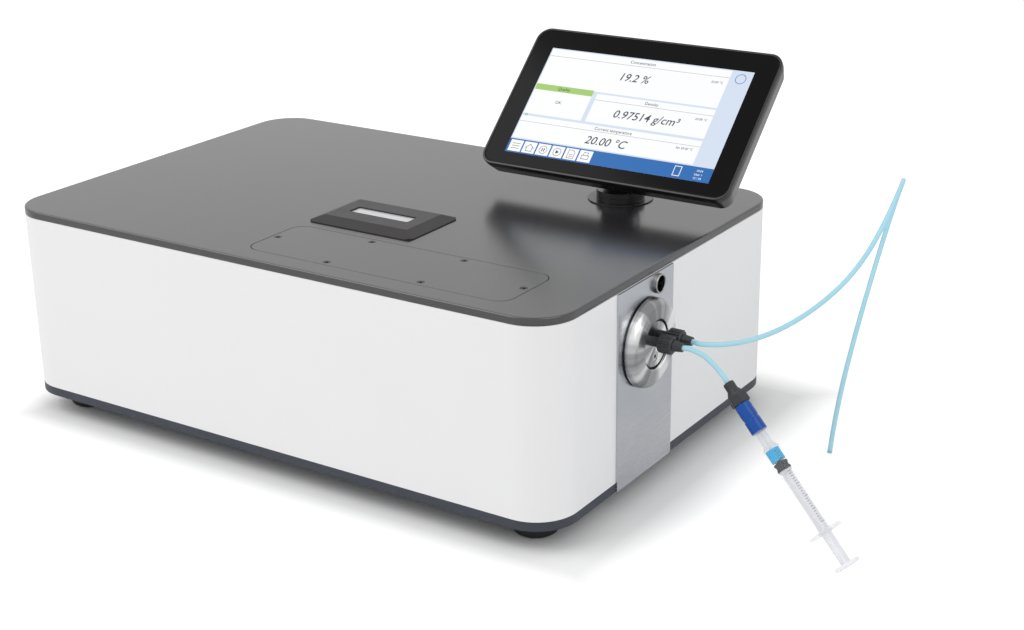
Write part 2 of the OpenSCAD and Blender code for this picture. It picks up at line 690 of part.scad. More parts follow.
module heat_sink() color("#8f949a") placed()
    translate([x_block - block_l + 14, panel_y - block_w / 2, z_sink - sink_base]) {
    cube([block_l - 28, block_w, sink_base]);
    fins = floor((block_w + 4) / 6);
    for (i = [0 : fins - 1])
        translate([12, i * (block_w - 1.8) / (fins - 1), -fin_h]) cube([block_l - 52, 1.8, fin_h + eps]);
}

module sink_legs() color("#b4b7bb") placed()
    for (x = [x_block - block_l + 20, x_block - 20], y = [-1, 1])
        translate([x, panel_y + y * (block_w / 2 - 5), z_floor])
            cylinder(r = 4, h = z_sink - sink_base - z_floor);

// ---------------------------------------------------------------- rear

module at_rear_screws() for (x = [-rear_w / 2 + 40, 0, rear_w / 2 - 40], z = [-1, 1])
    translate([x, y_rear, rear_z + z * (rear_h / 2 + rear_lap / 2)]) children();

module on_rear(p) translate([p[0], y_rear, p[1]]) along_y() children();

fan_hole_r = fan_w / 2 - 2;
module rear_panel() color("#35373b") placed() difference() {
    on_rear([0, rear_z]) translate([0, 0, -rear_t])
        slab(rear_w + 2 * rear_lap, rear_h + 2 * rear_lap, rear_t, 4);
    at_rear_screws() along_y() translate([0, 0, -rear_t - 1]) cylinder(r = m3_r + 0.1, h = rear_t + 2);
    on_rear(fan_at) translate([0, 0, -rear_t - 1]) {
        cylinder(r = fan_hole_r, h = rear_t + 2);
        for (a = [45 : 90 : 315]) rotate(a)
            translate([(fan_w / 2 - 5) * sqrt(2), 0, 0]) cylinder(r = m3_r + 0.2, h = rear_t + 2);
    }
    on_rear(inlet_at) translate([0, 0, -rear_t - 1]) slab(27.4, 20.4, rear_t + 2, 1);
    on_rear(switch_at) translate([0, 0, -rear_t - 1]) slab(13.4, 19.4, rear_t + 2, 1);
    on_rear([lan_x, board_top + 6.9]) translate([0, 0, -rear_t - 1]) slab(16.4, 14.2, rear_t + 2, 0.6);
    on_rear([usb_x, board_top + 7.9]) translate([0, 0, -rear_t - 1]) slab(13.8, 16.2, rear_t + 2, 0.6);
}

module rear_screws() color("#2b2b2d") placed() at_rear_screws() along_y() difference() {
    union() {
        translate([0, 0, shell_t]) cylinder(r = m3_head_r, h = rear_head);
        translate([0, 0, -6]) cylinder(r = m3_r, h = 6 + shell_t + eps);
    }
    translate([0, 0, shell_t + 0.7]) cylinder(r = 1.2, h = 2, $fn = 6);
}

fan_t = 20;
rotor_r = fan_hole_r - 1.2;
module fan_frame() color("#222426") placed() on_rear(fan_at)
    translate([0, 0, -rear_t - fan_t]) difference() {
    union() {
        difference() {
            slab(fan_w, fan_w, fan_t, 4);
            translate([0, 0, -1]) cylinder(r = fan_hole_r, h = fan_t + 2);
        }
        cylinder(r = 12.5, h = 2.4);
        for (a = [30, 150, 270]) rotate(a) translate([10, -2, 0]) cube([fan_hole_r - 9, 4, 2.4]);
        cylinder(r = 3.5, h = 9);
    }
    translate([0, 0, -1]) cylinder(r = 1.5 + run, h = 12);
    for (a = [45 : 90 : 315]) rotate(a)
        translate([(fan_w / 2 - 5) * sqrt(2), 0, -1]) cylinder(r = m3_r + fit, h = fan_t + 2);
}

// Cup-shaped hub with pitched blades round it, on a thin shaft
module fan_rotor() color("#2c2e31") placed() on_rear(fan_at) translate([0, 0, -rear_t - fan_t]) {
    difference() {
        translate([0, 0, 3]) cylinder(r = 12, h = fan_t - 4.5);
        translate([0, 0, 2]) cylinder(r = 10.5, h = fan_t - 5);
    }
    translate([0, 0, 1]) cylinder(r = 1.5, h = fan_t - 3);
    intersection() {
        difference() {
            translate([0, 0, 3.4]) cylinder(r = rotor_r, h = fan_t - 5.6);
            translate([0, 0, 2]) cylinder(r = 11.4, h = fan_t);
        }
        for (i = [0 : fan_blades - 1]) rotate(i * 360 / fan_blades)
            translate([(rotor_r + 11) / 2, 0, fan_t / 2]) rotate([38, 0, 0])
                cube([rotor_r, 1.4, fan_t * 1.6], center = true);
    }
}

module fan_guard() color("#1f2022") placed() on_rear(fan_at) difference() {
    union() {
        for (r = [8 : 7 : fan_hole_r]) difference() {
            cylinder(r = r, h = guard_t);
            translate([0, 0, -1]) cylinder(r = r - 1.8, h = guard_t + 2);
        }
        for (a = [45, 135]) rotate(a) translate([-(fan_w / 2 - 5) * sqrt(2), -1.5, 0])
            cube([(fan_w - 10) * sqrt(2), 3, guard_t]);
        for (a = [45 : 90 : 315]) rotate(a)
            translate([(fan_w / 2 - 5) * sqrt(2), 0, 0]) cylinder(r = 4, h = guard_t);
    }
    for (a = [45 : 90 : 315]) rotate(a)
        translate([(fan_w / 2 - 5) * sqrt(2), 0, -1]) cylinder(r = m3_r + 0.2, h = guard_t + 2);
}

// Appliance inlet with a keyed socket
module inlet_outline(w, h, cut) polygon([[-w / 2, -h / 2], [w / 2, -h / 2], [w / 2, h / 2 - cut],
    [w / 2 - cut, h / 2], [cut - w / 2, h / 2], [-w / 2, h / 2 - cut]]);
module mains_inlet() color("#1b1b1d") placed() on_rear(inlet_at) rotate(180) difference() {
    union() {
        slab(33, 26, 2.2, 2);
        translate([0, 0, -20]) slab(27, 20, 20 + eps, 0.8);
    }
    translate([0, 0, -15.5]) linear_extrude(20) inlet_outline(24.4, 16.4, 5);
    for (x = [-7, 0, 7]) translate([x - 1.1, (x == 0 ? -2.6 : 2.6) - 2.1, -21]) cube([2.2, 4.2, 8]);
}
module inlet_pins() color("#c9b26a") placed() on_rear(inlet_at) rotate(180)
    for (x = [-7, 0, 7]) translate([x - 1, (x == 0 ? -2.6 : 2.6) - 2, -24]) cube([2, 4, 21.5]);

module switch_frame() color("#1b1b1d") placed() on_rear(switch_at) difference() {
    union() {
        slab(15, 21, 1.8, 1.5);
        translate([0, 0, -14]) slab(13, 19, 14 + eps, 0.8);
    }
    translate([-4.6, -7.6, -9]) cube([9.2, 15.2, 20]);
    translate([-6.3, 0, -2.2]) along_x() cylinder(r = 1.2 + run, h = 12.6);
}

// Rocker with its two pivots; it rests with its upper end pressed
rocker_rest = 9;
module switch_rocker() color("#26282b") placed() on_rear(switch_at) translate([0, 0, -2.2]) {
    rotate([rocker_rest, 0, 0]) rotate([90, 0, 90]) linear_extrude(8.8, center = true)
        polygon([[-6.9, 4.4], [-6.7, 0.2], [-2.4, -2.6], [2.4, -2.6], [6.7, 0.2], [6.9, 4.4], [0, 2.8]]);
    translate([-6, 0, 0]) along_x() cylinder(r = 1.2, h = 12);
}

module lan_socket() color("#b9bcc0") placed() translate([lan_x, 0, board_top]) difference() {
    translate([-8, y_rear - 17.5, 0]) cube([16, 18, 13.6]);
    translate([-5.9, y_rear - 13, 3]) cube([11.8, 20, 6.6]);
    translate([-3, y_rear - 13, 1.4]) cube([6, 20, 4]);
}

module usb_sockets() color("#c4c6c8") placed() translate([usb_x, 0, board_top]) difference() {
    translate([-6.7, y_rear - 17.5, 0]) cube([13.4, 18, 15.8]);
    for (z = [1.3, 9.1]) difference() {
        translate([-6, y_rear - 12, z]) cube([12, 20, 5.4]);
        translate([-5.4, y_rear - 13, z + 0.9]) cube([10.8, 11, 1.6]);
    }
}

board_w = 150;
board_d = 92;
board_x = -10;
board_t = 1.6;
y_board = y_rear - rear_t - 0.4 - board_d;
module at_board_holes(z) for (x = [-1, 1], y = [0, 1])
    translate([board_x + x * (board_w / 2 - 5), y_board + 5 + y * (board_d - 10), z]) children();
module mainboard() color("#2e6b45") placed() difference() {
    union() {
        translate([board_x - board_w / 2, y_board, board_top - board_t]) cube([board_w, board_d, board_t]);
        translate([board_x - 30, y_board + 30, board_top - eps]) cube([28, 28, 3]);
        translate([board_x + 20, y_board + 18, board_top - eps]) cube([14, 20, 2]);
        translate([board_x - 62, y_board + 20, board_top - eps]) cube([8, 40, 9]);
        for (i = [0 : 4])
            translate([board_x + 48, y_board + 16 + i * 12, board_top - eps]) cylinder(r = 3.5, h = 9);
    }
    at_board_holes(board_top - board_t - 1) cylinder(r = m3_r + 0.1, h = board_t + 2);
}
module board_standoffs() color("#b4b7bb") placed() at_board_holes(z_floor) {
    cylinder(r = 3.2, h = board_top - board_t - z_floor, $fn = 6);
    translate([0, 0, board_top - board_t - z_floor - eps]) cylinder(r = m3_r, h = board_t + 1.2);
}

psu_w = 72;
psu_d = 92;
psu_h = 38;
psu_gap = 36;       // between the supply and the rear panel's outer face
psu_face_d = 10;    // depth of the recess for its terminals
psu_slots = 9;
module power_supply() color("#a9adb2") placed()
    translate([inlet_at[0] - 30, y_rear - psu_gap - psu_d, z_floor]) difference() {
        cube([psu_w, psu_d, psu_h]);
        for (i = [0 : psu_slots - 1]) translate([8 + i * 7, psu_face_d + 6, psu_h - 6])
            cube([3, psu_d - psu_face_d - 16, 10]);
        translate([2, -1, 4]) cube([psu_w - 4, psu_face_d + 1, psu_h - 12]);
    }

// ---------------------------------------------------------------- column and hinge

module on_column(z) translate([column_at[0], column_at[1], z]) children();
bush_r = column_d / 2 - 1.2;
bush_drop = 9;      // threaded length below the cover
module column() color("#161618") placed() on_column(0) difference() {
    union() {
        translate([0, 0, z_top]) cylinder(r = column_d / 2 + 5.8, h = 0.8);
        translate([0, 0, z_top]) cylinder(d = column_d, h = z_head - z_top - slide);
        translate([0, 0, z_cover - bush_drop]) cylinder(r = bush_r, h = cover_t + bush_drop + eps);
    }
    translate([0, 0, z_cover - bush_drop - 1]) cylinder(r = swivel_r + run, h = 40);
}

module column_nut() color("#8f9296") placed() on_column(z_cover - 6) difference() {
    cylinder(r = bush_r + 6, h = 6, $fn = 6);
    translate([0, 0, -1]) cylinder(r = bush_r + run, h = 8);
}

module swivel_head() color("#161618") placed() difference() {
    union() {
        on_column(z_cover - bush_drop - 5)
            cylinder(r = swivel_r, h = z_head - z_cover + bush_drop + 5 + eps);
        on_column(z_head) cylinder(d = column_d, h = head_h);
        translate([hinge_at[0] - tongue_t / 2, hinge_at[1] - tongue_r, z_head + head_h - eps])
            cube([tongue_t, 2 * tongue_r, hinge_at[2] - z_head - head_h + eps]);
        translate([hinge_at[0] - tongue_t / 2, hinge_at[1], hinge_at[2]]) along_x()
            cylinder(r = tongue_r, h = tongue_t);
    }
    translate([hinge_at[0] - 20, hinge_at[1], hinge_at[2]]) along_x()
        cylinder(r = hinge_pin_d / 2 + run, h = 40);
    on_column(z_cover - bush_drop - 6) cylinder(r = 3.5, h = bush_drop + cover_t + 10);
}

module swivel_clip() color("#8f9296") placed() on_column(z_cover - bush_drop - slide - 2) difference() {
    cylinder(r = swivel_r + 3, h = 2);
    translate([0, 0, -1]) cylinder(r = swivel_r + run, h = 4);
}

// Children in the display's own frame: origin in the middle of the screen, +Z out of it
module on_display() placed() translate(hinge_at) rotate([90 - display_lean, 0, 0])
    translate([0, hinge_drop, display_t + hinge_back]) children();

bracket_t = 1.6;
ear_t = 5;
ear_x = tongue_t / 2 + slide;
module tilt_bracket() color("#1d1d20") on_display() difference() {
    union() {
        translate([0, 2 - hinge_drop, -display_t - bracket_t]) slab(46, 24, bracket_t, 3);
        for (s = [-1, 1]) translate([s > 0 ? ear_x : -ear_x - ear_t, -hinge_drop, 0]) {
            translate([0, -7, -display_t - hinge_back]) cube([ear_t, 14, hinge_back - bracket_t + eps]);
            translate([0, 0, -display_t - hinge_back]) along_x() cylinder(r = 7, h = ear_t);
        }
    }
    translate([-20, -hinge_drop, -display_t - hinge_back]) along_x()
        cylinder(r = hinge_pin_d / 2 + run, h = 40);
    at_bracket_screws() translate([0, 0, -1]) cylinder(r = m3_r + fit, h = bracket_t + 2);
}
module at_bracket_screws() for (x = [-18, 18], y = [-6, 10])
    translate([x, y - hinge_drop, -display_t - bracket_t]) children();
module bracket_screws() color("#8f9296") on_display() at_bracket_screws() {
    translate([0, 0, -1.6]) cylinder(r = m3_head_r, h = 1.6);
    translate([0, 0, -eps]) cylinder(r = m3_r, h = bracket_t + 3);
}
module tilt_pin() color("#8f9296") on_display()
    translate([-ear_x - ear_t - 0.5, -hinge_drop, -display_t - hinge_back]) along_x()
        cylinder(d = hinge_pin_d, h = 2 * (ear_x + ear_t) + 1);

// ---------------------------------------------------------------- display

glass_seat = 2;     // depth of the seat for the front glass
glass_rim = 1.6;    // housing's edge round the glass
band = 4;           // straight part of the housing's side
display_taper = 3;
display_wall = 2;
module display_back() color("#19191b") on_display() translate([0, display_rise, 0]) difference() {
    union() {
        translate([0, 0, -band]) slab(display_w, display_h, band, display_r);
        translate([0, 0, -band + eps]) mirror([0, 0, 1])
            tapered_slab(display_w, display_h, display_t - band + eps, display_r, display_taper);
    }
    translate([0, 0, -display_t + display_wall])
        slab(display_w - 11, display_h - 11, display_t, display_r - 5);
    translate([0, 0, -glass_seat])
        slab(display_w - 2 * glass_rim, display_h - 2 * glass_rim, glass_seat + 1, display_r - glass_rim);
    translate([0, -display_rise, 0]) at_bracket_screws() cylinder(r = m3_r + 0.1, h = 8);
}

module display_glass() color("#0c0d0f") on_display() translate([0, display_rise, -glass_seat])
    slab(display_w - 2 * glass_rim - fit, display_h - 2 * glass_rim - fit, 1.8, display_r - glass_rim - fit);

lcd_w = 165;
lcd_h = 96;
lcd_t = 5;
module display_panel() color("#24405e") on_display()
    translate([-lcd_w / 2, -lcd_h / 2, -glass_seat - lcd_t]) cube([lcd_w, lcd_h, lcd_t]);

module display_board() color("#2e6b45") on_display() {
    z_board = -display_t + display_wall + 3;
    translate([-60, -24, z_board]) cube([120, 64, 1.6]);
    for (x = [-52, 52], y = [-18, 34])
        translate([x, y, z_board - 3]) cylinder(r = 3, h = 3 + eps);
    translate([-20, -4, z_board + 1.6 - eps]) cube([30, 26, 2]);
}

base_tray();
tray_rim();
feet();
foot_screws();
cover_posts();
shell_walls();
shell_corners();
shell_rear();
top_cover();
access_plate();
access_screws();
window_bezel();
window_glass();
side_panel();
port_flange();
port_disc();
port_screw();
air_port();
air_port_nut();
inlet_nut();
outlet_nut();
inlet_tube();
outlet_tube();
luer_adapter();
luer_socket();
syringe_barrel();
syringe_plunger();
plunger_stopper();
cell_block();
cell_plug();
cell_jacket();
u_tube();
peltier_plates();
heat_sink();
sink_legs();
rear_panel();
rear_screws();
fan_frame();
fan_rotor();
fan_guard();
mains_inlet();
inlet_pins();
switch_frame();
switch_rocker();
lan_socket();
usb_sockets();
mainboard();
board_standoffs();
power_supply();
column();
column_nut();
swivel_head();
swivel_clip();
tilt_bracket();
tilt_pin();
bracket_screws();
display_back();
display_glass();
display_panel();
display_board();
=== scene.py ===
"""A benchtop density meter: a white sheet shell between a dark tray and a dark cover, a steel
port flange with two fluid tubes and a sample syringe, and a touch display on a column."""

import math

import bpy
import numpy as np
from mathutils import Matrix
from mathutils.geometry import tessellate_polygon


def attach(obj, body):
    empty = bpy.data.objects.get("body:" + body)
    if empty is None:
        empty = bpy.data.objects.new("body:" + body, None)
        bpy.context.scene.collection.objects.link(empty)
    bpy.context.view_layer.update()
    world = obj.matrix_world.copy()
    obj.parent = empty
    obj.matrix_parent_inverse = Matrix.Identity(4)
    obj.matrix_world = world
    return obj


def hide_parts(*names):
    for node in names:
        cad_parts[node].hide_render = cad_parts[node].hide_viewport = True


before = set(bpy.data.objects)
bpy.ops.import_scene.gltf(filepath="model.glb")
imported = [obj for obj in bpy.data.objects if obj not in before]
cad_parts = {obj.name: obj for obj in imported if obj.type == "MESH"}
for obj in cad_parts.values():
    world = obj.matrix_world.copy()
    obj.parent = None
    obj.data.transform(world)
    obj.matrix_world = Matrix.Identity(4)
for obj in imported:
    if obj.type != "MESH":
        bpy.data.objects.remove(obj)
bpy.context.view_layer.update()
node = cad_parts


# ---------------------------------------------------------------- camera
# A long lens looks down on the front right corner of the housing, from half a metre above the
# bench and 1.1 m away.

frame_middle = [14.6, 0.85, 0]


def bench(points):
    """Millimetres from the middle of the housing's footprint, on the bench, to the CAD frame."""
    return (np.asarray(points, float) - frame_middle) / 1000


def stand(name, data, place, sideways, upwards, backwards):
    """Puts a camera or lamp at a place, looking away from `backwards`; the three are unit axes."""
    made = bpy.data.objects.new(name, data)
    bpy.context.scene.collection.objects.link(made)
    axes = np.stack([sideways, upwards, backwards], 1)
    made.matrix_world = Matrix([[*row, at] for row, at in zip(axes.tolist(), place)] + [[0, 0, 0, 1]])
    return made


eye = [692.9, -907.3, 492.4]
turn, tip, cant = np.radians([33.391, -20.674, -0.789])
ahead = np.array([-math.sin(turn) * math.cos(tip), math.cos(turn) * math.cos(tip), math.sin(tip)])
level = np.array([math.cos(turn), math.sin(turn), 0])
above = np.cross(level, ahead)
side = math.cos(cant) * level + math.sin(cant) * above
crown = math.cos(cant) * above - math.sin(cant) * level
lens = bpy.data.cameras.new("camera")
lens.sensor_width = 36
lens.lens = 62.13
lens.clip_start = 0.05
bpy.context.scene.camera = stand("camera", lens, bench(eye).tolist(), side, crown, -ahead)


# ---------------------------------------------------------------- fluid tubes
# Clear, pale blue fluoropolymer tubing, 3.2 mm in diameter. Each tube is held in a port by its
# nut; one leads to the syringe, the other arches up and stands on the bench.

class Wire:
    """One output in a material's node tree; arithmetic on it adds Math nodes."""

    def __init__(self, finish, socket):
        self.finish, self.socket = finish, socket

    def __add__(self, other):
        return self.finish.math("ADD", self, other)

    def __sub__(self, other):
        return self.finish.math("SUBTRACT", self, other)

    def __rsub__(self, other):
        return self.finish.math("SUBTRACT", other, self)

    def __mul__(self, other):
        return self.finish.math("MULTIPLY", self, other)

    def __gt__(self, other):
        return self.finish.math("GREATER_THAN", self, other)

    def __lt__(self, other):
        return self.finish.math("LESS_THAN", self, other)

    __radd__, __rmul__ = __add__, __mul__


class Finish:
    """A material: a Principled shader with fixed sockets, and the nodes that vary it."""

    def __init__(self, name, **fixed):
        self.material = bpy.data.materials.new(name)
        self.material.use_nodes = True
        self.tree = self.material.node_tree
        self.shader = self.tree.nodes["Principled BSDF"]
        for socket, value in fixed.items():
            self.shader.inputs[socket.replace("_", " ")].default_value = value
        self.place = self.add("TexCoord", {}, {}, "Object")

    def add(self, kind, settings, inputs, output=0):
        """A node of that type, its settings made first, then its sockets filled or linked."""
        made = self.tree.nodes.new("ShaderNode" + kind)
        for name, value in settings.items():
            setattr(made, name, value)
        for key, value in inputs.items():
            self.fill(made.inputs[key], value)
        return Wire(self, made.outputs[output])

    def fill(self, socket, value):
        if isinstance(value, Wire):
            self.tree.links.new(value.socket, socket)
        else:
            socket.default_value = value

    def set(self, **varied):
        for name, value in varied.items():
            self.fill(self.shader.inputs[name.replace("_", " ")], value)

    def math(self, operation, a, b=0.0):
        return self.add("Math", {"operation": operation}, {0: a, 1: b})

    def noise(self, scale, detail=2.0, at=None):
        return self.add("TexNoise", {}, {"Vector": at or self.place, "Scale": scale, "Detail": detail})

    def blend(self, share, low, high):
        """A colour between two others, by a share from 0 to 1."""
        return self.add("Mix", {"data_type": "RGBA"}, {0: share, 6: low, 7: high}, 2)

    def bumps(self, height, distance, strength=1.0):
        self.set(Normal=self.add("Bump", {}, {"Height": height, "Distance": distance,
                                              "Strength": strength}))


def paint(red, green, blue):
    """A colour as a picture editor shows it, 0 to 255, in the linear values of a shader."""
    share = np.array([red, green, blue]) / 255
    return (*np.where(share < 0.04045, share / 12.92, ((share + 0.055) / 1.055) ** 2.4), 1.0)


def wear(finish, colour, spread, rough, grain, depth):
    """An even coat or moulding: soft clouds in colour and gloss, and a fine grain in height."""
    cloud = finish.noise(14, 4)
    dark = tuple(c * (1 - spread) for c in colour[:3]) + (1,)
    light = tuple(min(1, c * (1 + spread)) for c in colour[:3]) + (1,)
    finish.set(Base_Color=finish.blend(cloud, dark, light),
               Roughness=rough[0] + finish.noise(60, 3) * (rough[1] - rough[0]))
    finish.bumps(finish.noise(grain, 2), depth)


def skin(name, grid, close_rows=False, cap_start=False, cap_end=False):
    """A surface on a grid of points whose columns run round and close on themselves.

    Each row is a ring; neighbouring rings are joined by quads, and the first and last ring can
    be joined to each other or closed with a flat face."""
    grid = np.asarray(grid, float)
    rows, cols = grid.shape[:2]
    row, col = np.meshgrid(np.arange(rows if close_rows else rows - 1), np.arange(cols), indexing="ij")
    after, beside = (row + 1) % rows, (col + 1) % cols
    quads = np.stack([row * cols + col, row * cols + beside, after * cols + beside,
                      after * cols + col], -1).reshape(-1, 4).tolist()
    if cap_start:
        quads.append(list(range(cols))[::-1])
    if cap_end:
        quads.append(list(range((rows - 1) * cols, rows * cols)))
    mesh = bpy.data.meshes.new(name)
    mesh.from_pydata(grid.reshape(-1, 3).tolist(), [], quads)
    return shown(name, mesh)


def shown(name, mesh):
    """Puts a mesh into the scene, smooth, with flat faces kept flat by area-weighted normals."""
    mesh.validate()
    mesh.shade_smooth()
    made = bpy.data.objects.new(name, mesh)
    bpy.context.scene.collection.objects.link(made)
    even = made.modifiers.new("even", "WEIGHTED_NORMAL")
    even.mode = "FACE_AREA"
    even.weight = 80
    return made


def smooth_route(points, steps=6):
    """A curve through all points: a cubic on each span, its end slopes set by the neighbours."""
    p = np.asarray(points, float)
    p = np.vstack([2 * p[0] - p[1], p, 2 * p[-1] - p[-2]])
    t = np.linspace(0, 1, steps, endpoint=False)[None, :, None]
    a, b, c, d = (p[i:len(p) - 3 + i, None] for i in range(4))
    spans = 0.5 * (2 * b + (c - a) * t + (2 * a - 5 * b + 4 * c - d) * t ** 2
                   + (3 * b - a - 3 * c + d) * t ** 3)
    return np.vstack([spans.reshape(-1, 3), p[-2]])


def sweep(route, radius, sides, across):
    """A round tube along a route: each ring stands square to the route's local direction."""
    ahead = np.gradient(route, axis=0)
    ahead /= np.linalg.norm(ahead, axis=1, keepdims=True)
    a = np.cross(ahead, across)
    a /= np.linalg.norm(a, axis=1, keepdims=True)
    b = np.cross(ahead, a)
    angle = np.linspace(0, 2 * np.pi, sides, endpoint=False)[None, :, None]
    return route[:, None] + radius * (np.cos(angle) * a[:, None] + np.sin(angle) * b[:, None])


def dress(piece, finish, body, solids):
    """Gives a piece its finish and body, and hides the CAD nodes that it stands for."""
    piece.data.materials.append(finish.material)
    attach(piece, body)
    if solids:
        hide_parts(*solids)


tube_r = 1.6
port_end = 217.3
collar_end = 244.2
port_ys = (-43.9, -32.1)
port_z = 105
lean = math.radians(42.2)
compass = math.radians(165.4)
thumb = np.array([364.5, -68.6, 7.8 * math.cos(lean) + 0.1])
uphill = np.array([math.cos(lean) * math.cos(compass), math.cos(lean) * math.sin(compass),
                   math.sin(lean)])

inlet_route = smooth_route([
    [port_end, port_ys[0], port_z], [232, port_ys[0], port_z], [collar_end, port_ys[0], port_z],
    [250, -43, 104.5], [257, -42, 102], [264, -42.5, 98], [270, -44, 94],
    thumb + 121 * uphill])
outlet_route = smooth_route([
    [port_end, port_ys[1], port_z], [232, port_ys[1], port_z], [collar_end, port_ys[1], port_z],
    [251, -33, 105], [260.8, -23.2, 103.6], [269.3, -12.1, 103.6], [276.6, -0.1, 104.8],
    [282.8, 12.5, 107.1], [288.1, 25.4, 110.3], [292.7, 38.3, 114.3], [296.6, 50.8, 118.9],
    [300.1, 62.8, 124.4], [303.1, 74.3, 131.2], [305.9, 85.4, 139.8], [308.3, 96, 150.2],
    [309.9, 106.7, 160.7], [309.8, 118.2, 168.8], [307.4, 130.9, 172.2], [303.5, 140.8, 168.5],
    [299.9, 141.9, 156.9], [297.4, 138, 142.9], [295.9, 132.3, 129.6], [295, 125.4, 116.8],
    [294.4, 118.2, 104.3], [293.8, 111.2, 91.8], [293.3, 104.4, 79.4], [292.8, 98.1, 66.9],
    [292.3, 92.2, 54.2], [291.8, 86.9, 41.4], [291.5, 82.2, 28.3], [291.2, 78.2, 14.9],
    [291, 75, 1]])

tube_finish = Finish("clear_blue_tube", IOR=1.35, Coat_Weight=0.1)
milk = tube_finish.noise(40, 2)
tube_finish.set(Base_Color=tube_finish.blend(milk, paint(166, 219, 235), paint(182, 228, 242)),
                Roughness=0.26 + milk * 0.08)
inlet_tube = skin("inlet_hose", bench(sweep(inlet_route, tube_r, 16, [0, -0.6, 0.8])),
                  cap_start=True, cap_end=True)
outlet_tube = skin("outlet_hose", bench(sweep(outlet_route, tube_r, 16, [0.7, -0.7, 0.1])),
                   cap_start=True, cap_end=True)
dress(inlet_tube, tube_finish, "housing", ["inlet_tube"])
dress(outlet_tube, tube_finish, "housing", ["outlet_tube"])


# ---------------------------------------------------------------- syringe
# A small sample syringe of clear plastic with a black rubber stopper. It is pushed into a blue
# socket, and a black hand nut above that holds the inlet tube. The thumb rest is on the bench.

def turned(name, profile, origin, direction, sides=64, close=True):
    """A lathe piece: a closed outline of (radius, distance along the axis) turned round an axis."""
    profile = np.asarray(profile, float)
    w = np.asarray(direction, float) / np.linalg.norm(direction)
    u = np.cross([0, 0, 1] if abs(w[2]) < 0.9 else [0, 1, 0], w)
    u /= np.linalg.norm(u)
    v = np.cross(w, u)
    angle = np.linspace(0, 2 * np.pi, sides, endpoint=False)[None, :, None]
    ring = np.cos(angle) * u + np.sin(angle) * v
    grid = (np.asarray(origin) + profile[:, None, 1:] * w + profile[:, None, :1] * ring)
    return skin(name, bench(grid), close_rows=close, cap_start=not close, cap_end=not close)


def eased(outline, ease, closed=True, steps=4):
    """An outline with each corner cut back by `ease` and rounded by a quadratic curve."""
    p = np.asarray(outline, float)
    before, after = np.roll(p, 1, axis=0), np.roll(p, -1, axis=0)
    reach_b = np.linalg.norm(before - p, axis=1, keepdims=True)
    reach_a = np.linalg.norm(after - p, axis=1, keepdims=True)
    ease = np.broadcast_to(np.reshape(ease, (-1, 1)), reach_a.shape)
    start = p + (before - p) * np.minimum(ease / reach_b, 0.48)
    end = p + (after - p) * np.minimum(ease / reach_a, 0.48)
    if not closed:
        start[0] = end[0] = p[0]
        start[-1] = end[-1] = p[-1]
    t = np.linspace(0, 1, steps + 1)[None, :, None]
    return ((1 - t) ** 2 * start[:, None] + 2 * t * (1 - t) * p[:, None]
            + t ** 2 * end[:, None]).reshape(-1, p.shape[1])


def cover_with(finish, *names):
    """A CAD node's own solid, kept, in a better finish."""
    for name in names:
        node[name].data.materials.clear()
        node[name].data.materials.append(finish.material)


beside = np.cross([0, 0, 1], uphill)
beside /= np.linalg.norm(beside)
upright = np.cross(uphill, beside)


def on_syringe(x, y, along):
    """A point beside the syringe's axis: x level, y upright to it, `along` from the thumb rest."""
    return (thumb + np.multiply.outer(x, beside) + np.multiply.outer(y, upright)
            + np.multiply.outer(along, uphill))


barrel_low, barrel_high = 24, 79
first_tick, tick_gap, scale_end = 28.4, 1.7, 76.3
clear_plastic = Finish("clear_plastic", Coat_Weight=0.3)
from_thumb = clear_plastic.add("VectorMath", {"operation": "SUBTRACT"}, {
    0: clear_plastic.place, 1: tuple(bench(thumb))})
along, across, up = (clear_plastic.add("VectorMath", {"operation": "DOT_PRODUCT"}, {
    0: from_thumb, 1: tuple(1000 * way)}, 1) for way in (uphill, beside, upright))
spin = clear_plastic.math("ARCTAN2", across, up)
step = (along - first_tick) * (1 / tick_gap)
fine = (clear_plastic.math("FRACT", step) < 0.14) * (spin > 0.33) * (spin < 0.61)
bold = (clear_plastic.math("FRACT", step * 0.2) < 0.03) * (spin > 0.12) * (spin < 0.61)
printed = clear_plastic.math("MAXIMUM", fine, bold) * (along > first_tick - 0.1) * (along < scale_end)
haze = clear_plastic.noise(120, 3)
thick = clear_plastic.math("MAXIMUM", along > barrel_high, along < barrel_low)
clear_plastic.set(Base_Color=clear_plastic.blend(
    printed, clear_plastic.blend(haze, paint(226, 229, 233), paint(236, 238, 242)), paint(60, 62, 68)),
    Roughness=0.12 + haze * 0.08, Alpha=0.06 + thick * 0.3 + printed * 0.6)
cover_with(clear_plastic, "syringe_barrel")

liquid_finish = Finish("blue_liquid", IOR=1.33, Roughness=0.05)
deep = liquid_finish.noise(40, 2)
liquid_finish.set(Base_Color=liquid_finish.blend(deep, paint(0, 166, 222), paint(20, 180, 230)))
stopper_front, bore_end, ring_r = 70.5, 78.5, 4.35
liquid_low, liquid_high, liquid_r = stopper_front + 0.1, bore_end - 0.1, ring_r - 0.05
liquid = turned("sample_liquid", eased([
    [0, liquid_low], [liquid_r, liquid_low], [liquid_r, liquid_high], [0, liquid_high]], 0.3),
    thumb, uphill, 48, close=False)
dress(liquid, liquid_finish, "housing", [])

pale_plastic = Finish("pale_plastic", Coat_Weight=0.2, Alpha=0.5)
wear(pale_plastic, paint(246, 246, 251), 0.01, (0.25, 0.35), 700, 0.00001)
cover_with(pale_plastic, "syringe_plunger")

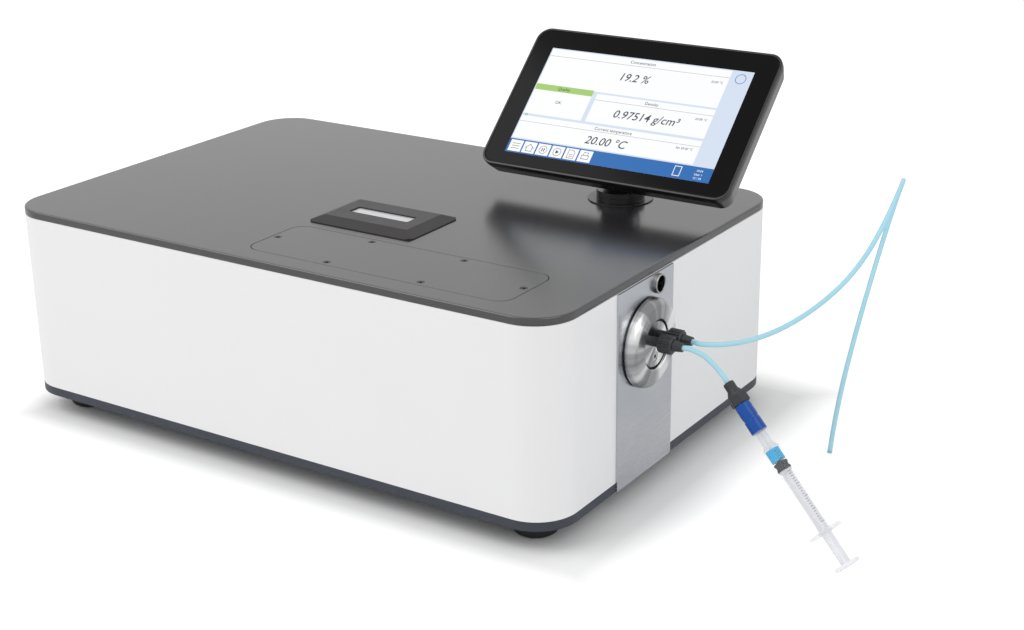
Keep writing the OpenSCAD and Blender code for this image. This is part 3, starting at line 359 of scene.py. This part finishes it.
soft_black = Finish("black_rubber", Specular_IOR_Level=0.3)
wear(soft_black, paint(34, 34, 36), 0.15, (0.55, 0.75), 1600, 0.00005)
stopper = turned("stopper_rings", eased([
    [0, 64.5], [ring_r, 64.5], [ring_r, 65.9], [3.85, 66.2], [3.85, 68], [ring_r, 68.3],
    [ring_r, 69.5], [1, stopper_front], [0, stopper_front]], 0.3, closed=False),
    thumb, uphill, 48, close=False)
dress(stopper, soft_black, "plunger", ["plunger_stopper"])

blue_plastic = Finish("blue_socket", Specular_IOR_Level=0.3, Coat_Weight=0.05)
wear(blue_plastic, paint(0, 76, 164), 0.14, (0.12, 0.2), 500, 0.00001)
socket = turned("socket_body", eased([
    [2.5, 91], [4.9, 91], [5.1, 91.3], [5, 99], [4.75, 99.2], [4.75, 100.8], [5, 101], [4.95, 110],
    [0.8, 110], [0.8, 101], [2.5, 101]], 0.3), thumb, uphill)
dress(socket, blue_plastic, "housing", ["luer_socket"])

hard_black = Finish("black_moulding", Specular_IOR_Level=0.45)
wear(hard_black, paint(44, 45, 48), 0.12, (0.36, 0.5), 1200, 0.00004)
hex_angle = np.linspace(0, 2 * np.pi, 96, endpoint=False)
hex_reach = np.cos(np.pi / 6) / np.cos((hex_angle % (np.pi / 3)) - np.pi / 6)
nut_rows = [(5.8, 110, 1.0), (6.1, 110.4, 1.0), (6.1, 116.2, 1.0), (5.7, 116.9, 0.7), (5, 117.3, 0.0),
            (3.5, 119.9, 0.0), (3.4, 120.5, 0.0), (3.4, 124.3, 0.0), (3.1, 124.9, 0.0), (2.7, 125, 0.0),
            (1.7, 125, 0.0), (1.7, 120.8, 0.0)]


def nut_ring(radius, along, hexagonal):
    """A ring between a circle, at hexagonal 0, and a hexagon of that corner radius, at 1."""
    reach = radius * (hex_reach * hexagonal + 1 - hexagonal)
    return on_syringe(np.cos(hex_angle) * reach, np.sin(hex_angle) * reach,
                      np.full(len(hex_angle), along))


hand_nut = skin("adapter_nut", bench(np.stack([nut_ring(*row) for row in nut_rows])),
                cap_start=True, cap_end=True)
dress(hand_nut, hard_black, "housing", ["luer_adapter"])


# ---------------------------------------------------------------- tray and feet
# A folded and welded steel tray, blue-grey powder coated, carries everything. A round boss over
# each foot is part of it, and the feet are turned rubber, held by a screw from below.

tray_coat = Finish("tray_coat")
wear(tray_coat, paint(48, 53, 63), 0.06, (0.42, 0.52), 2600, 0.00002)
cover_with(tray_coat, "base_tray", "tray_rim")
foot_x, foot_y = 185, 114
for number, (right, rear) in enumerate([(-1, -1), (1, -1), (-1, 1), (1, 1)]):
    foot = turned(f"rubber_foot_{number}", eased([
        [2.2, 8.5], [2.2, 4], [4.5, 4], [4.5, 0], [11.6, 0], [13.6, 1.4], [14.5, 3.6],
        [14.5, 8.5]], 0.6), [right * foot_x, rear * foot_y, 0], [0, 0, 1], 72)
    dress(foot, soft_black, "housing", ["feet"])

zinc = Finish("zinc_plate", Metallic=1.0)
wear(zinc, paint(186, 188, 192), 0.08, (0.25, 0.4), 900, 0.00002)
cover_with(zinc, "foot_screws", "cover_posts", "sink_legs", "board_standoffs", "air_port_nut",
           "column_nut", "swivel_clip", "bracket_screws", "tilt_pin")


# ---------------------------------------------------------------- side shell
# One band of sheet steel bent round four wide corners and coated satin white. It stands on the
# tray's rim, inside the cover's edge line, and its rear is cut open for the connector panel.

white_coat = Finish("white_coat", Coat_Weight=0.08)
wear(white_coat, paint(238, 238, 239), 0.012, (0.36, 0.44), 2200, 0.00002)
cover_with(white_coat, "shell_walls", "shell_corners", "shell_rear")


# ---------------------------------------------------------------- cover
# A 5 mm plate with a softly broken edge, in a fine textured grey coat that mirrors what stands
# on it in a blur. A long access plate lies flush in it, on six small countersunk screws.

def rounded(width, depth, radius, per_corner=16):
    """A rectangle with round corners, anticlockwise, with as many points on every corner."""
    angle = np.linspace(0, np.pi / 2, per_corner)
    arc = np.stack([np.cos(angle), np.sin(angle)], 1) * radius
    x, y = width / 2 - radius, depth / 2 - radius
    quarter = np.array([[0, -1], [1, 0]])
    return np.vstack([arc @ np.linalg.matrix_power(quarter.T, k) + corner
                      for k, corner in enumerate([(x, y), (-x, y), (-x, -y), (x, -y)])])


def stacked(width, depth, radius, profile, centre=(0, 0), per_corner=16):
    """Rings of a rounded rectangle, one per (inset, height) of the profile."""
    rings = []
    for inset, height in profile:
        ring = rounded(width - 2 * inset, depth - 2 * inset, max(radius - inset, 0.2), per_corner)
        rings.append(np.column_stack([ring + centre, np.full(len(ring), height)]))
    return np.stack(rings)


cover_coat = Finish("cover_coat", Specular_IOR_Level=1.0)
wear(cover_coat, paint(40, 40, 42), 0.03, (0.19, 0.22), 2400, 0.000001)


def plate(name, outer, holes):
    """A flat plate as one closed skin: its outer rings, its holes' rings and two flat faces.

    outer and each hole are (rings, points, 3), from the bottom face to the top face."""
    walls = [outer] + holes
    points, faces, rims = [], [], {0: [], -1: []}
    start = 0
    for index, wall in enumerate(walls):
        rows, cols = wall.shape[:2]
        row, col = np.meshgrid(np.arange(rows - 1), np.arange(cols), indexing="ij")
        quad = np.stack([row * cols + col, row * cols + (col + 1) % cols,
                         (row + 1) * cols + (col + 1) % cols, (row + 1) * cols + col], -1)
        quad = quad.reshape(-1, 4) + start
        faces += (quad if index == 0 else quad[:, ::-1]).tolist()
        points.append(wall.reshape(-1, 3))
        for end in rims:
            rims[end].append(np.arange(cols) + start + (rows - 1) * cols * (end == -1))
        start += rows * cols
    points = np.vstack(points)
    for end, loops in rims.items():
        order = np.concatenate(loops)
        made = tessellate_polygon([[(*points[v, :2], 0.0) for v in loop] for loop in loops])
        tri = order[np.array(made)]
        a, b, c = (points[tri[:, k], :2] for k in range(3))
        cross = (b - a)[:, 0] * (c - a)[:, 1] - (b - a)[:, 1] * (c - a)[:, 0]
        wrong = (cross > 0) == (end == 0)
        tri[wrong] = tri[wrong][:, ::-1]
        faces += tri.tolist()
    mesh = bpy.data.meshes.new(name)
    mesh.from_pydata(bench(points).tolist(), [], faces)
    return shown(name, mesh)


def edged(low, high, ease):
    """A plate's edge profile of (inset, height), broken round at both faces."""
    return eased([[ease * 2.2, low], [0, low], [0, high], [ease * 2.2, high]], ease, closed=False)


def hole_edge(low, high, ease):
    """The same for a hole, which grows wider at both faces."""
    return [(-inset, height) for inset, height in edged(low, high, ease)]


body_w, body_d = 430, 288
cover_low, cover_top = 141.5, 146.5
lid_low = 144.5
access_at, window_at, column_at = (78, -101.5), (21.5, -39), (129, 82.5)
cover = plate("top_plate", stacked(
    body_w, body_d, 27.5, edged(cover_low, cover_top, 1.2), per_corner=28), [
    stacked(194.1, 54.6, 10.3, hole_edge(cover_low, cover_top, 0.25), access_at),
    stacked(61.5, 26, 3, hole_edge(cover_low, cover_top, 0.2), window_at),
    stacked(30.5, 30.5, 15.2, hole_edge(cover_low, cover_top, 0.2), column_at)])
dress(cover, cover_coat, "housing", ["top_cover"])
ledge_faces = [(0, cover_low + 0.1), (0, lid_low)]
ledge = plate("access_ledge", stacked(194, 54.5, 10.2, ledge_faces, access_at), [
    stacked(175.5, 36, 3, ledge_faces, access_at)])
dress(ledge, soft_black, "housing", [])

screw_places = [(access_at[0] + x, access_at[1]) for x in (-92.25, 92.25)] + [
    (access_at[0] + x, access_at[1] + y) for x in (-35, 35) for y in (-22.5, 22.5)]
screw_hole = [(1.05, lid_low), (1.05, lid_low + 0.8), (0, cover_top - 0.05), (0, cover_top)]
lid = plate("access_lid", stacked(193.3, 53.8, 10, edged(lid_low, cover_top, 0.3), access_at), [
    stacked(5, 5, 2.49, screw_hole, place, 8) for place in screw_places])
dress(lid, cover_coat, "housing", ["access_plate"])

black_oxide = Finish("black_oxide", Metallic=0.9)
wear(black_oxide, paint(58, 58, 62), 0.1, (0.3, 0.45), 1500, 0.00002)
cover_with(black_oxide, "access_screws", "rear_screws", "fan_guard")


# ---------------------------------------------------------------- window
# A moulded frame with four sloped sides round a narrow window, through which the end of the
# measuring tube is watched. The window is a light grey pane set below the frame's face.

bezel_plastic = Finish("bezel_moulding", Specular_IOR_Level=0.35)
wear(bezel_plastic, paint(44, 41, 42), 0.06, (0.38, 0.5), 2000, 0.00003)
bezel_w, bezel_d, skirt, bezel_top = 82, 54.5, 0.6, 150.5
outer_ring = rounded(bezel_w, bezel_d, 5)
inward = np.min([bezel_w / 2, bezel_d / 2] - np.abs(outer_ring), axis=1)
slope_foot = cover_top + skirt + 3.4 / 8 * inward
bezel = plate("window_frame", np.stack([
    np.column_stack([ring + window_at, height * np.ones(len(ring))]) for ring, height in (
        (outer_ring, cover_top), (outer_ring, slope_foot),
        (rounded(bezel_w - 16, bezel_d - 16, 0.4), bezel_top - 0.1),
        (rounded(bezel_w - 16.6, bezel_d - 16.6, 0.3), bezel_top))]), [
    stacked(46.5, 11, 0.8, [(0, cover_top), (0, bezel_top - 0.3), (-0.3, bezel_top)], window_at, 6)])
bezel.data.shade_flat()
bezel.modifiers.clear()
dress(bezel, bezel_plastic, "housing", ["window_bezel"])

pane_glass = Finish("grey_pane", Coat_Weight=0.3)
frost = pane_glass.noise(30, 2)
pane_glass.set(Base_Color=pane_glass.blend(frost, paint(196, 196, 200), paint(214, 214, 217)),
               Roughness=0.12 + frost * 0.08)
pane = plate("window_pane", stacked(
    46.4, 10.9, 0.8, edged(cover_top, bezel_top - 1, 0.15), window_at, 6), [])
dress(pane, pane_glass, "housing", ["window_glass"])


# ---------------------------------------------------------------- steel panel
# A strip of brushed stainless steel over the right side's sheet, brushed along its length, from
# the cover's edge down over the tray's rim.

brushed = Finish("brushed_steel", Metallic=1.0)
streaks = brushed.noise(1.0, 3, brushed.add("Mapping", {}, {"Vector": brushed.place,
                                                            "Scale": (30, 30, 2600)}))
cloudy = brushed.noise(16, 3)
brushed.set(Base_Color=brushed.blend(cloudy, paint(174, 176, 182), paint(206, 207, 211)),
            Roughness=0.16 + streaks * 0.12 + cloudy * 0.08)
brushed.bumps(streaks, 0.00004, 0.6)
cover_with(brushed, "side_panel")


# ---------------------------------------------------------------- port flange
# A turned stainless ring on the panel, with a shadow groove behind its rim and a wide round
# shoulder. The port disc sits in it, a millimetre clear all round, and carries both ports. Its
# steel colour carries painted reflections: bright and dark sectors round the axis.

panel_face = 216.2
flange_at, air_at = (panel_face, -38, 101), (panel_face, -24.5, 134.5)
turned_steel = Finish("turned_steel", Metallic=1.0)
offset = turned_steel.add("VectorMath", {"operation": "SUBTRACT"}, {
    0: turned_steel.place, 1: tuple(bench(flange_at))})
flat_offset = turned_steel.add("VectorMath", {"operation": "MULTIPLY"}, {0: offset, 1: (0, 1, 1)})
reach = turned_steel.add("VectorMath", {"operation": "LENGTH"}, {0: flat_offset}, 1)
groove = turned_steel.add("TexNoise", {"noise_dimensions": "1D"}, {
    "W": reach, "Scale": 5200, "Detail": 2})
tarnish = turned_steel.noise(45, 3)
round_way = turned_steel.add("VectorMath", {"operation": "NORMALIZE"}, {0: flat_offset})
# Painted reflection: bright and dark sectors round the flange's axis, set in the steel's colour.
painted_reflection_sectors = turned_steel.add("MapRange", {}, {
    "Value": turned_steel.noise(1.3, 4, round_way), "From Min": 0.38, "From Max": 0.6})
turned_steel.set(Base_Color=turned_steel.blend(painted_reflection_sectors, paint(132, 132, 134), paint(238, 238, 237)),
                 Roughness=0.12 + groove * 0.14 + tarnish * 0.06)
turned_steel.bumps(groove, 0.00006, 0.8)
flange = turned("flange_ring", eased([
    [15.4, 0], [25, 0], [25, 0.8], [27.7, 0.8], [28, 1.1], [28, 2.9], [26.9, 5.6], [24.2, 7.3],
    [22.8, 7.5], [16.4, 8.2], [15.4, 7.4]],
    [0.1, 0.1, 0.1, 0.2, 0.2, 1.2, 1.6, 1.4, 0.8, 0.4, 0.4]), flange_at, [1, 0, 0], 160)
dress(flange, turned_steel, "housing", ["port_flange"])

cover_with(turned_steel, "port_disc")
cover_with(zinc, "port_screw")
ring = turned("air_ring", eased([
    [4.9, -13], [6.1, -13], [6.1, 2.2], [5.8, 2.6], [5.2, 2.6], [4.9, 2.2]], 0.25),
    air_at, [1, 0, 0], 96)
dress(ring, turned_steel, "housing", ["air_port"])
air_floor = turned("air_ring_floor", [[0, -13], [5.4, -13], [5.4, -12], [0, -12]],
                   air_at, [1, 0, 0], 48, close=False)
dress(air_floor, zinc, "housing", [])
cover_with(hard_black, "inlet_nut", "outlet_nut")


# ---------------------------------------------------------------- rear
# A connector panel, coated as the tray is, behind the shell's rear opening: fan with its wire
# guard, appliance inlet, rocker switch and data sockets, as such instruments have.

cover_with(tray_coat, "rear_panel")
cover_with(hard_black, "fan_frame", "fan_rotor", "mains_inlet", "switch_frame", "switch_rocker")
cover_with(zinc, "lan_socket", "usb_sockets", "power_supply")
brass = Finish("brass_pins", Metallic=1.0)
wear(brass, paint(214, 184, 110), 0.06, (0.25, 0.4), 900, 0.00002)
cover_with(brass, "inlet_pins")


# ---------------------------------------------------------------- measuring cell and boards
# Inside, a milled aluminium block holds the glass U-tube in its jacket over two cooling plates
# and a finned heat sink; the boards stand on pillars behind it.

milled = Finish("milled_aluminium", Metallic=1.0)
wear(milled, paint(190, 193, 198), 0.05, (0.3, 0.42), 800, 0.00003)
cover_with(milled, "cell_block", "heat_sink")
clear_glass = Finish("clear_glass", Transmission_Weight=1.0, IOR=1.45)
clear_glass.set(Roughness=clear_glass.noise(60) * 0.04, Base_Color=clear_glass.blend(
    clear_glass.noise(20), paint(244, 250, 250), paint(252, 254, 254)))
cover_with(clear_glass, "cell_jacket", "u_tube")
cover_with(pale_plastic, "cell_plug", "peltier_plates")
board = Finish("circuit_board", Coat_Weight=0.2)
wear(board, paint(40, 104, 66), 0.2, (0.3, 0.45), 700, 0.00003)
cover_with(board, "mainboard", "display_board")


# ---------------------------------------------------------------- column
# A short black column stands on a thin round base on the cover. Its head swivels on a hollow
# spindle and carries the tongue that the display's bracket is pinned to.

black_coat = Finish("black_coat", Specular_IOR_Level=0.5)
wear(black_coat, paint(30, 30, 32), 0.1, (0.22, 0.32), 2000, 0.00002)
base_top = cover_top + 0.8
column = turned("column_body", eased([
    [8.05, 132.5], [15.05, 132.5], [15.05, cover_top], [22.05, cover_top], [22.05, base_top],
    [16.25, base_top], [16.25, cover_top + 3], [8.05, cover_top + 3]], 0.25),
    (*column_at, 0), [0, 0, 1], 128)
dress(column, black_coat, "housing", ["column"])
cover_with(black_coat, "swivel_head", "tilt_bracket")


# ---------------------------------------------------------------- display
# A black moulded back with drawn-in sides, and a sheet of black-bordered glass let into its
# front, just below the back's rim.

display_tip = math.radians(90 - 46.8)
pin_z, screen_up, screen_out = 162.1, 33.8, 25
frame_w, frame_h, frame_up = 187, 113, 2.5
border = 1.7


def on_display(points):
    """Millimetres on the screen (x across, y up, z out of it) to millimetres on the bench.

    The screen's middle stands up and out from the tilt pin, and turns with the display round it."""
    p = np.asarray(points, float) + [0, screen_up, screen_out]
    c, s = math.cos(display_tip), math.sin(display_tip)
    return np.stack([p[..., 0] + column_at[0], p[..., 1] * c - p[..., 2] * s + column_at[1],
                     p[..., 1] * s + p[..., 2] * c + pin_z], -1)


display_black = Finish("display_moulding", Specular_IOR_Level=0.5)
wear(display_black, paint(24, 24, 25), 0.08, (0.2, 0.28), 1800, 0.00001)
back_profile = eased([[96, -16], [3, -16], [0, -4], [0, 0], [1.6, 0], [1.6, -2], [5, -2]],
                     [0.1, 1.6, 1.5, 0.7, 0.3, 0.1, 0.1], closed=False)
back_profile[:, 0] = np.minimum(back_profile[:, 0], 50)
shell = skin("display_shell", bench(on_display(stacked(
    frame_w, frame_h, 10, back_profile, (0, frame_up), 20))), cap_start=True, cap_end=True)
dress(shell, display_black, "display", ["display_back"])

front_glass = Finish("front_glass", Specular_IOR_Level=0.09)
smear = front_glass.noise(25, 3)
front_glass.set(Base_Color=front_glass.blend(smear, paint(5, 5, 6), paint(8, 8, 9)),
                Roughness=0.08 + smear * 0.06)
glass = skin("display_front", bench(on_display(stacked(
    frame_w - 2 * border, frame_h - 2 * border, 8.2, edged(-2, -0.2, 0.35), (0, frame_up), 20))),
    cap_start=True, cap_end=True)
dress(glass, front_glass, "display", ["display_glass"])
cover_with(display_black, "display_panel")


# ---------------------------------------------------------------- screen picture
# What the lit screen shows: white read-out panels with thin rules, a pale sidebar, a green
# heading and a blue bar of square keys. Millimetres from the screen's middle.

def lettering(words, height, x, y, slant=0.0):
    """Flat letters as points and faces, centred on (x, y), with capitals `height` tall."""
    curve = bpy.data.curves.new("letters", "FONT")
    curve.body = words
    curve.size = height / 0.7
    curve.offset = 0.012 * height
    curve.shear = slant
    curve.align_x, curve.align_y = "CENTER", "CENTER"
    curve.resolution_u = 3
    made = bpy.data.objects.new("letters", curve)
    bpy.context.scene.collection.objects.link(made)
    bpy.context.view_layer.update()
    flat = bpy.data.meshes.new_from_object(made.evaluated_get(bpy.context.evaluated_depsgraph_get()))
    points = np.zeros(len(flat.vertices) * 3)
    flat.vertices.foreach_get("co", points)
    faces = [list(face.vertices) for face in flat.polygons]
    bpy.data.objects.remove(made)
    bpy.data.curves.remove(curve)
    bpy.data.meshes.remove(flat)
    return points.reshape(-1, 3)[:, :2] + [x, y], faces


def flat_marks(marks):
    """Joins several (points, faces) into one."""
    counts = np.cumsum([0] + [len(points) for points, _ in marks])
    faces = [[v + start for v in face] for (_, made), start in zip(marks, counts) for face in made]
    return np.vstack([points for points, _ in marks]), faces


def oblong(x0, y0, x1, y1):
    """A filled rectangle between two corners."""
    return np.array([[x0, y0], [x1, y0], [x1, y1], [x0, y1]], float), [[0, 1, 2, 3]]


def tinted(name, groups, height, strength):
    """Flat marks on the screen: one mesh whose faces carry the colour that they glow in.

    Each group lies a hundredth of a millimetre above the one before."""
    points, faces, tints = [], [], []
    start = 0
    for number, (colour, marks) in enumerate(groups):
        for flat, made in marks:
            points.append(np.column_stack([flat, np.full(len(flat), height + number / 100)]))
            faces += [[v + start for v in face] for face in made]
            tints += [colour] * sum(len(face) for face in made)
            start += len(flat)
    mesh = bpy.data.meshes.new(name)
    mesh.from_pydata(bench(on_display(np.vstack(points))).tolist(), [], faces)
    layer = mesh.color_attributes.new("tint", "FLOAT_COLOR", "CORNER")
    layer.data.foreach_set("color", np.array(tints, np.float32).ravel())
    made = shown(name, mesh)
    finish = Finish(name, Specular_IOR_Level=0.2, Emission_Strength=strength)
    colour = finish.add("VertexColor", {"layer_name": "tint"}, {})
    pixels = finish.noise(900, 1)
    finish.set(Base_Color=finish.blend(pixels, paint(6, 6, 7), paint(9, 9, 10)), Emission_Color=colour,
               Roughness=0.25 + pixels * 0.05)
    dress(made, finish, "display", [])


def stroke(corners, width):
    """A line of that width through the corners, as one oblong per stretch."""
    made = []
    corners = np.asarray(corners, float)
    for a, b in zip(corners[:-1], corners[1:]):
        along = (b - a) / np.linalg.norm(b - a) * width / 2
        across = np.array([-along[1], along[0]])
        made.append((np.array([a - along - across, b + along - across, b + along + across,
                               a - along + across]), [[0, 1, 2, 3]]))
    return flat_marks(made)


def hoop(x, y, radius, width, sides=28):
    """A circle drawn as a stroke."""
    angle = np.linspace(0, 2 * np.pi, sides + 1)
    return stroke(np.stack([x + radius * np.cos(angle), y + radius * np.sin(angle)], 1), width)


white, rule, grey = paint(252, 253, 255), paint(150, 160, 176), paint(70, 74, 84)
under = [(paint(214, 225, 242), [oblong(-77, -43, 77, 43)]),
         (white, [oblong(-76.2, 12.6, 61.4, 42.2), oblong(-76.2, -11.3, -31, 8.4),
                  oblong(-27.6, -11.3, 61.4, 11.2), oblong(-76.2, -31.2, 61.4, -13.2)]),
         (paint(166, 206, 112), [oblong(-76.2, 8.4, -31, 13.2)]),
         (paint(32, 106, 180), [oblong(-77, -43, 77, -32.2)])]
keys = [(white, [oblong(-75.4 + 10.9 * k, -42, -65.6 + 10.9 * k, -33.2) for k in range(6)])]
lines = [(rule, [oblong(-76.2, 36.4, 61.4, 36.7), oblong(-27.6, 6.2, 61.4, 6.5),
                 oblong(-76.2, -17.9, 61.4, -17.6)])]
words = [(grey, [lettering("19.2 %", 6, -6, 26.5, 0.2),
                 lettering("0.97514 g/cm³", 6, 15, -2.6, 0.2),
                 lettering("20.00 °C", 6, -6, -25.2, 0.2),
                 lettering("Concentration", 2.3, -4, 39.3), lettering("Density", 2.3, 15, 8.7),
                 lettering("Quality", 2.3, -53.6, 10.8), lettering("OK", 2.3, -53.6, 0),
                 lettering("Current temperature", 2.3, -4, -15.6),
                 lettering("20.00 °C", 1.7, 54, 32), lettering("20.00 °C", 1.7, 54, 2.5),
                 lettering("Set 20.00 °C", 1.7, 51, -20.6)])]
key_middle = -37.7
menu = [oblong(-73.6, -36 - 1.9 * k, -67.4, -35.6 - 1.9 * k) for k in range(3)]
home = [stroke([[-62.9, -38], [-59.6, -35], [-56.3, -38]], 0.4),
        stroke([[-61.8, -37.6], [-61.8, -40.4], [-57.4, -40.4], [-57.4, -37.6]], 0.4)]
pause = [hoop(-48.7, key_middle, 2.9, 0.35)] + [
    oblong(x, -39, x + 0.7, -36.4) for x in (-49.8, -48.3)]
play = [hoop(-37.8, key_middle, 2.9, 0.35),
        (np.array([[-38.8, -39.2], [-38.8, -36.2], [-36.2, key_middle]]), [[0, 1, 2]])]
sheet = [stroke([[-29.3, -40.8], [-29.3, -34.5], [-25.9, -34.5], [-24.5, -36], [-24.5, -40.8],
                 [-29.3, -40.8]], 0.35)] + [
    stroke([[-28.2, y], [-25.6, y]], 0.35) for y in (-38, -39.4)]
printer = [stroke([[-18.6, -37], [-13.4, -37], [-13.4, -39.8], [-18.6, -39.8], [-18.6, -37]], 0.4),
           stroke([[-17.6, -37], [-17.6, -34.8], [-14.4, -34.8], [-14.4, -37]], 0.35)]
icons = [(paint(60, 66, 80), menu + home + pause + play + sheet + printer),
         (white, [stroke([[50.2, -41], [50.2, -34], [55, -34], [55, -41], [50.2, -41]], 0.5),
                  lettering("10:24", 1.5, 68, -35.2), lettering("User 1", 1.5, 68, -38),
                  lettering("12 / 24", 1.5, 68, -40.8)]),
         (paint(60, 120, 200), [hoop(69.3, 36.6, 3.6, 0.45)]),
         (paint(90, 180, 90), [hoop(-73.5, -12.4, 0.8, 0.4, 12)])]
tinted("screen_fields", under, -0.17, 0.98)
tinted("screen_keys", keys + lines, -0.12, 0.98)
tinted("screen_words", words + icons, -0.09, 0.98)


# ---------------------------------------------------------------- studio
# A pale floor that runs out of sight, a bright even room, and two wide soft lamps. Seen by the
# camera the floor also glows, and that glow fades out near the housing: a painted shadow round it.

floor_mesh = bpy.data.meshes.new("floor")
floor_mesh.from_pydata([(-14, -14, 0), (14, -14, 0), (14, 14, 0), (-14, 14, 0)], [], [[0, 1, 2, 3]])
floor = bpy.data.objects.new("floor", floor_mesh)
bpy.context.scene.collection.objects.link(floor)
floor_finish = Finish("floor", Specular_IOR_Level=0.1, Emission_Strength=0.36)
paper = floor_finish.noise(3, 2)
looked_at = floor_finish.add("LightPath", {}, {}, "Is Camera Ray")
# Painted shadow: the floor's camera-seen glow falls to nothing within 3 cm of the housing's footprint.
sideways, lengthways = (floor_finish.math("ABSOLUTE", floor_finish.add(
    "SeparateXYZ", {}, {"Vector": floor_finish.place}, axis)) for axis in ("X", "Y"))
painted_shadow_distance = floor_finish.math("MAXIMUM", sideways - 0.22, lengthways - 0.15)
floor_finish.set(Emission_Color=looked_at * floor_finish.add("MapRange", {}, {
    "Value": painted_shadow_distance, "From Max": 0.03, "To Min": 0.0}))
floor_finish.set(Base_Color=floor_finish.blend(paper, paint(250, 250, 250), paint(252, 252, 252)),
                 Roughness=0.9 + paper * 0.05)
floor_mesh.materials.append(floor_finish.material)

class Room(Finish):
    """The air round the object: a world whose nodes are made as a material's are."""

    def __init__(self, name):
        self.world = bpy.data.worlds.new(name)
        self.world.use_nodes = True
        self.tree = self.world.node_tree
        self.tree.nodes.clear()


room = Room("room")
camera_ray, glossy_ray, clear_ray = (
    room.add("LightPath", {}, {}, f"Is {kind} Ray") for kind in ("Camera", "Glossy", "Transmission"))
sharp = room.math("MAXIMUM", room.math("MAXIMUM", camera_ray, glossy_ray), clear_ray)
dim, bright = (room.add("Background", {}, {"Color": (1, 1, 1, 1), "Strength": strength})
               for strength in (0.62, 1.0))
either = room.add("MixShader", {}, {0: sharp, 1: dim, 2: bright})
room.fill(room.tree.nodes.new("ShaderNodeOutputWorld").inputs["Surface"], either)
bpy.context.scene.world = room.world

lit_point = (0, 0, 0.1)
for name, spot, size, power in (("left_lamp", (-1.6, -1.6, 2.2), 2.2, 34),
                                ("right_lamp", (2.0, -0.6, 1.8), 1.8, 14)):
    lamp = bpy.data.lights.new(name, "AREA")
    lamp.size = size
    lamp.energy = power
    away = np.array(spot, float) - lit_point
    away /= np.linalg.norm(away)
    across = np.cross([0, 0, 1], away)
    across /= np.linalg.norm(across)
    stand(name, lamp, spot, across, np.cross(away, across), away)

bpy.context.scene.view_settings.view_transform = "Standard"
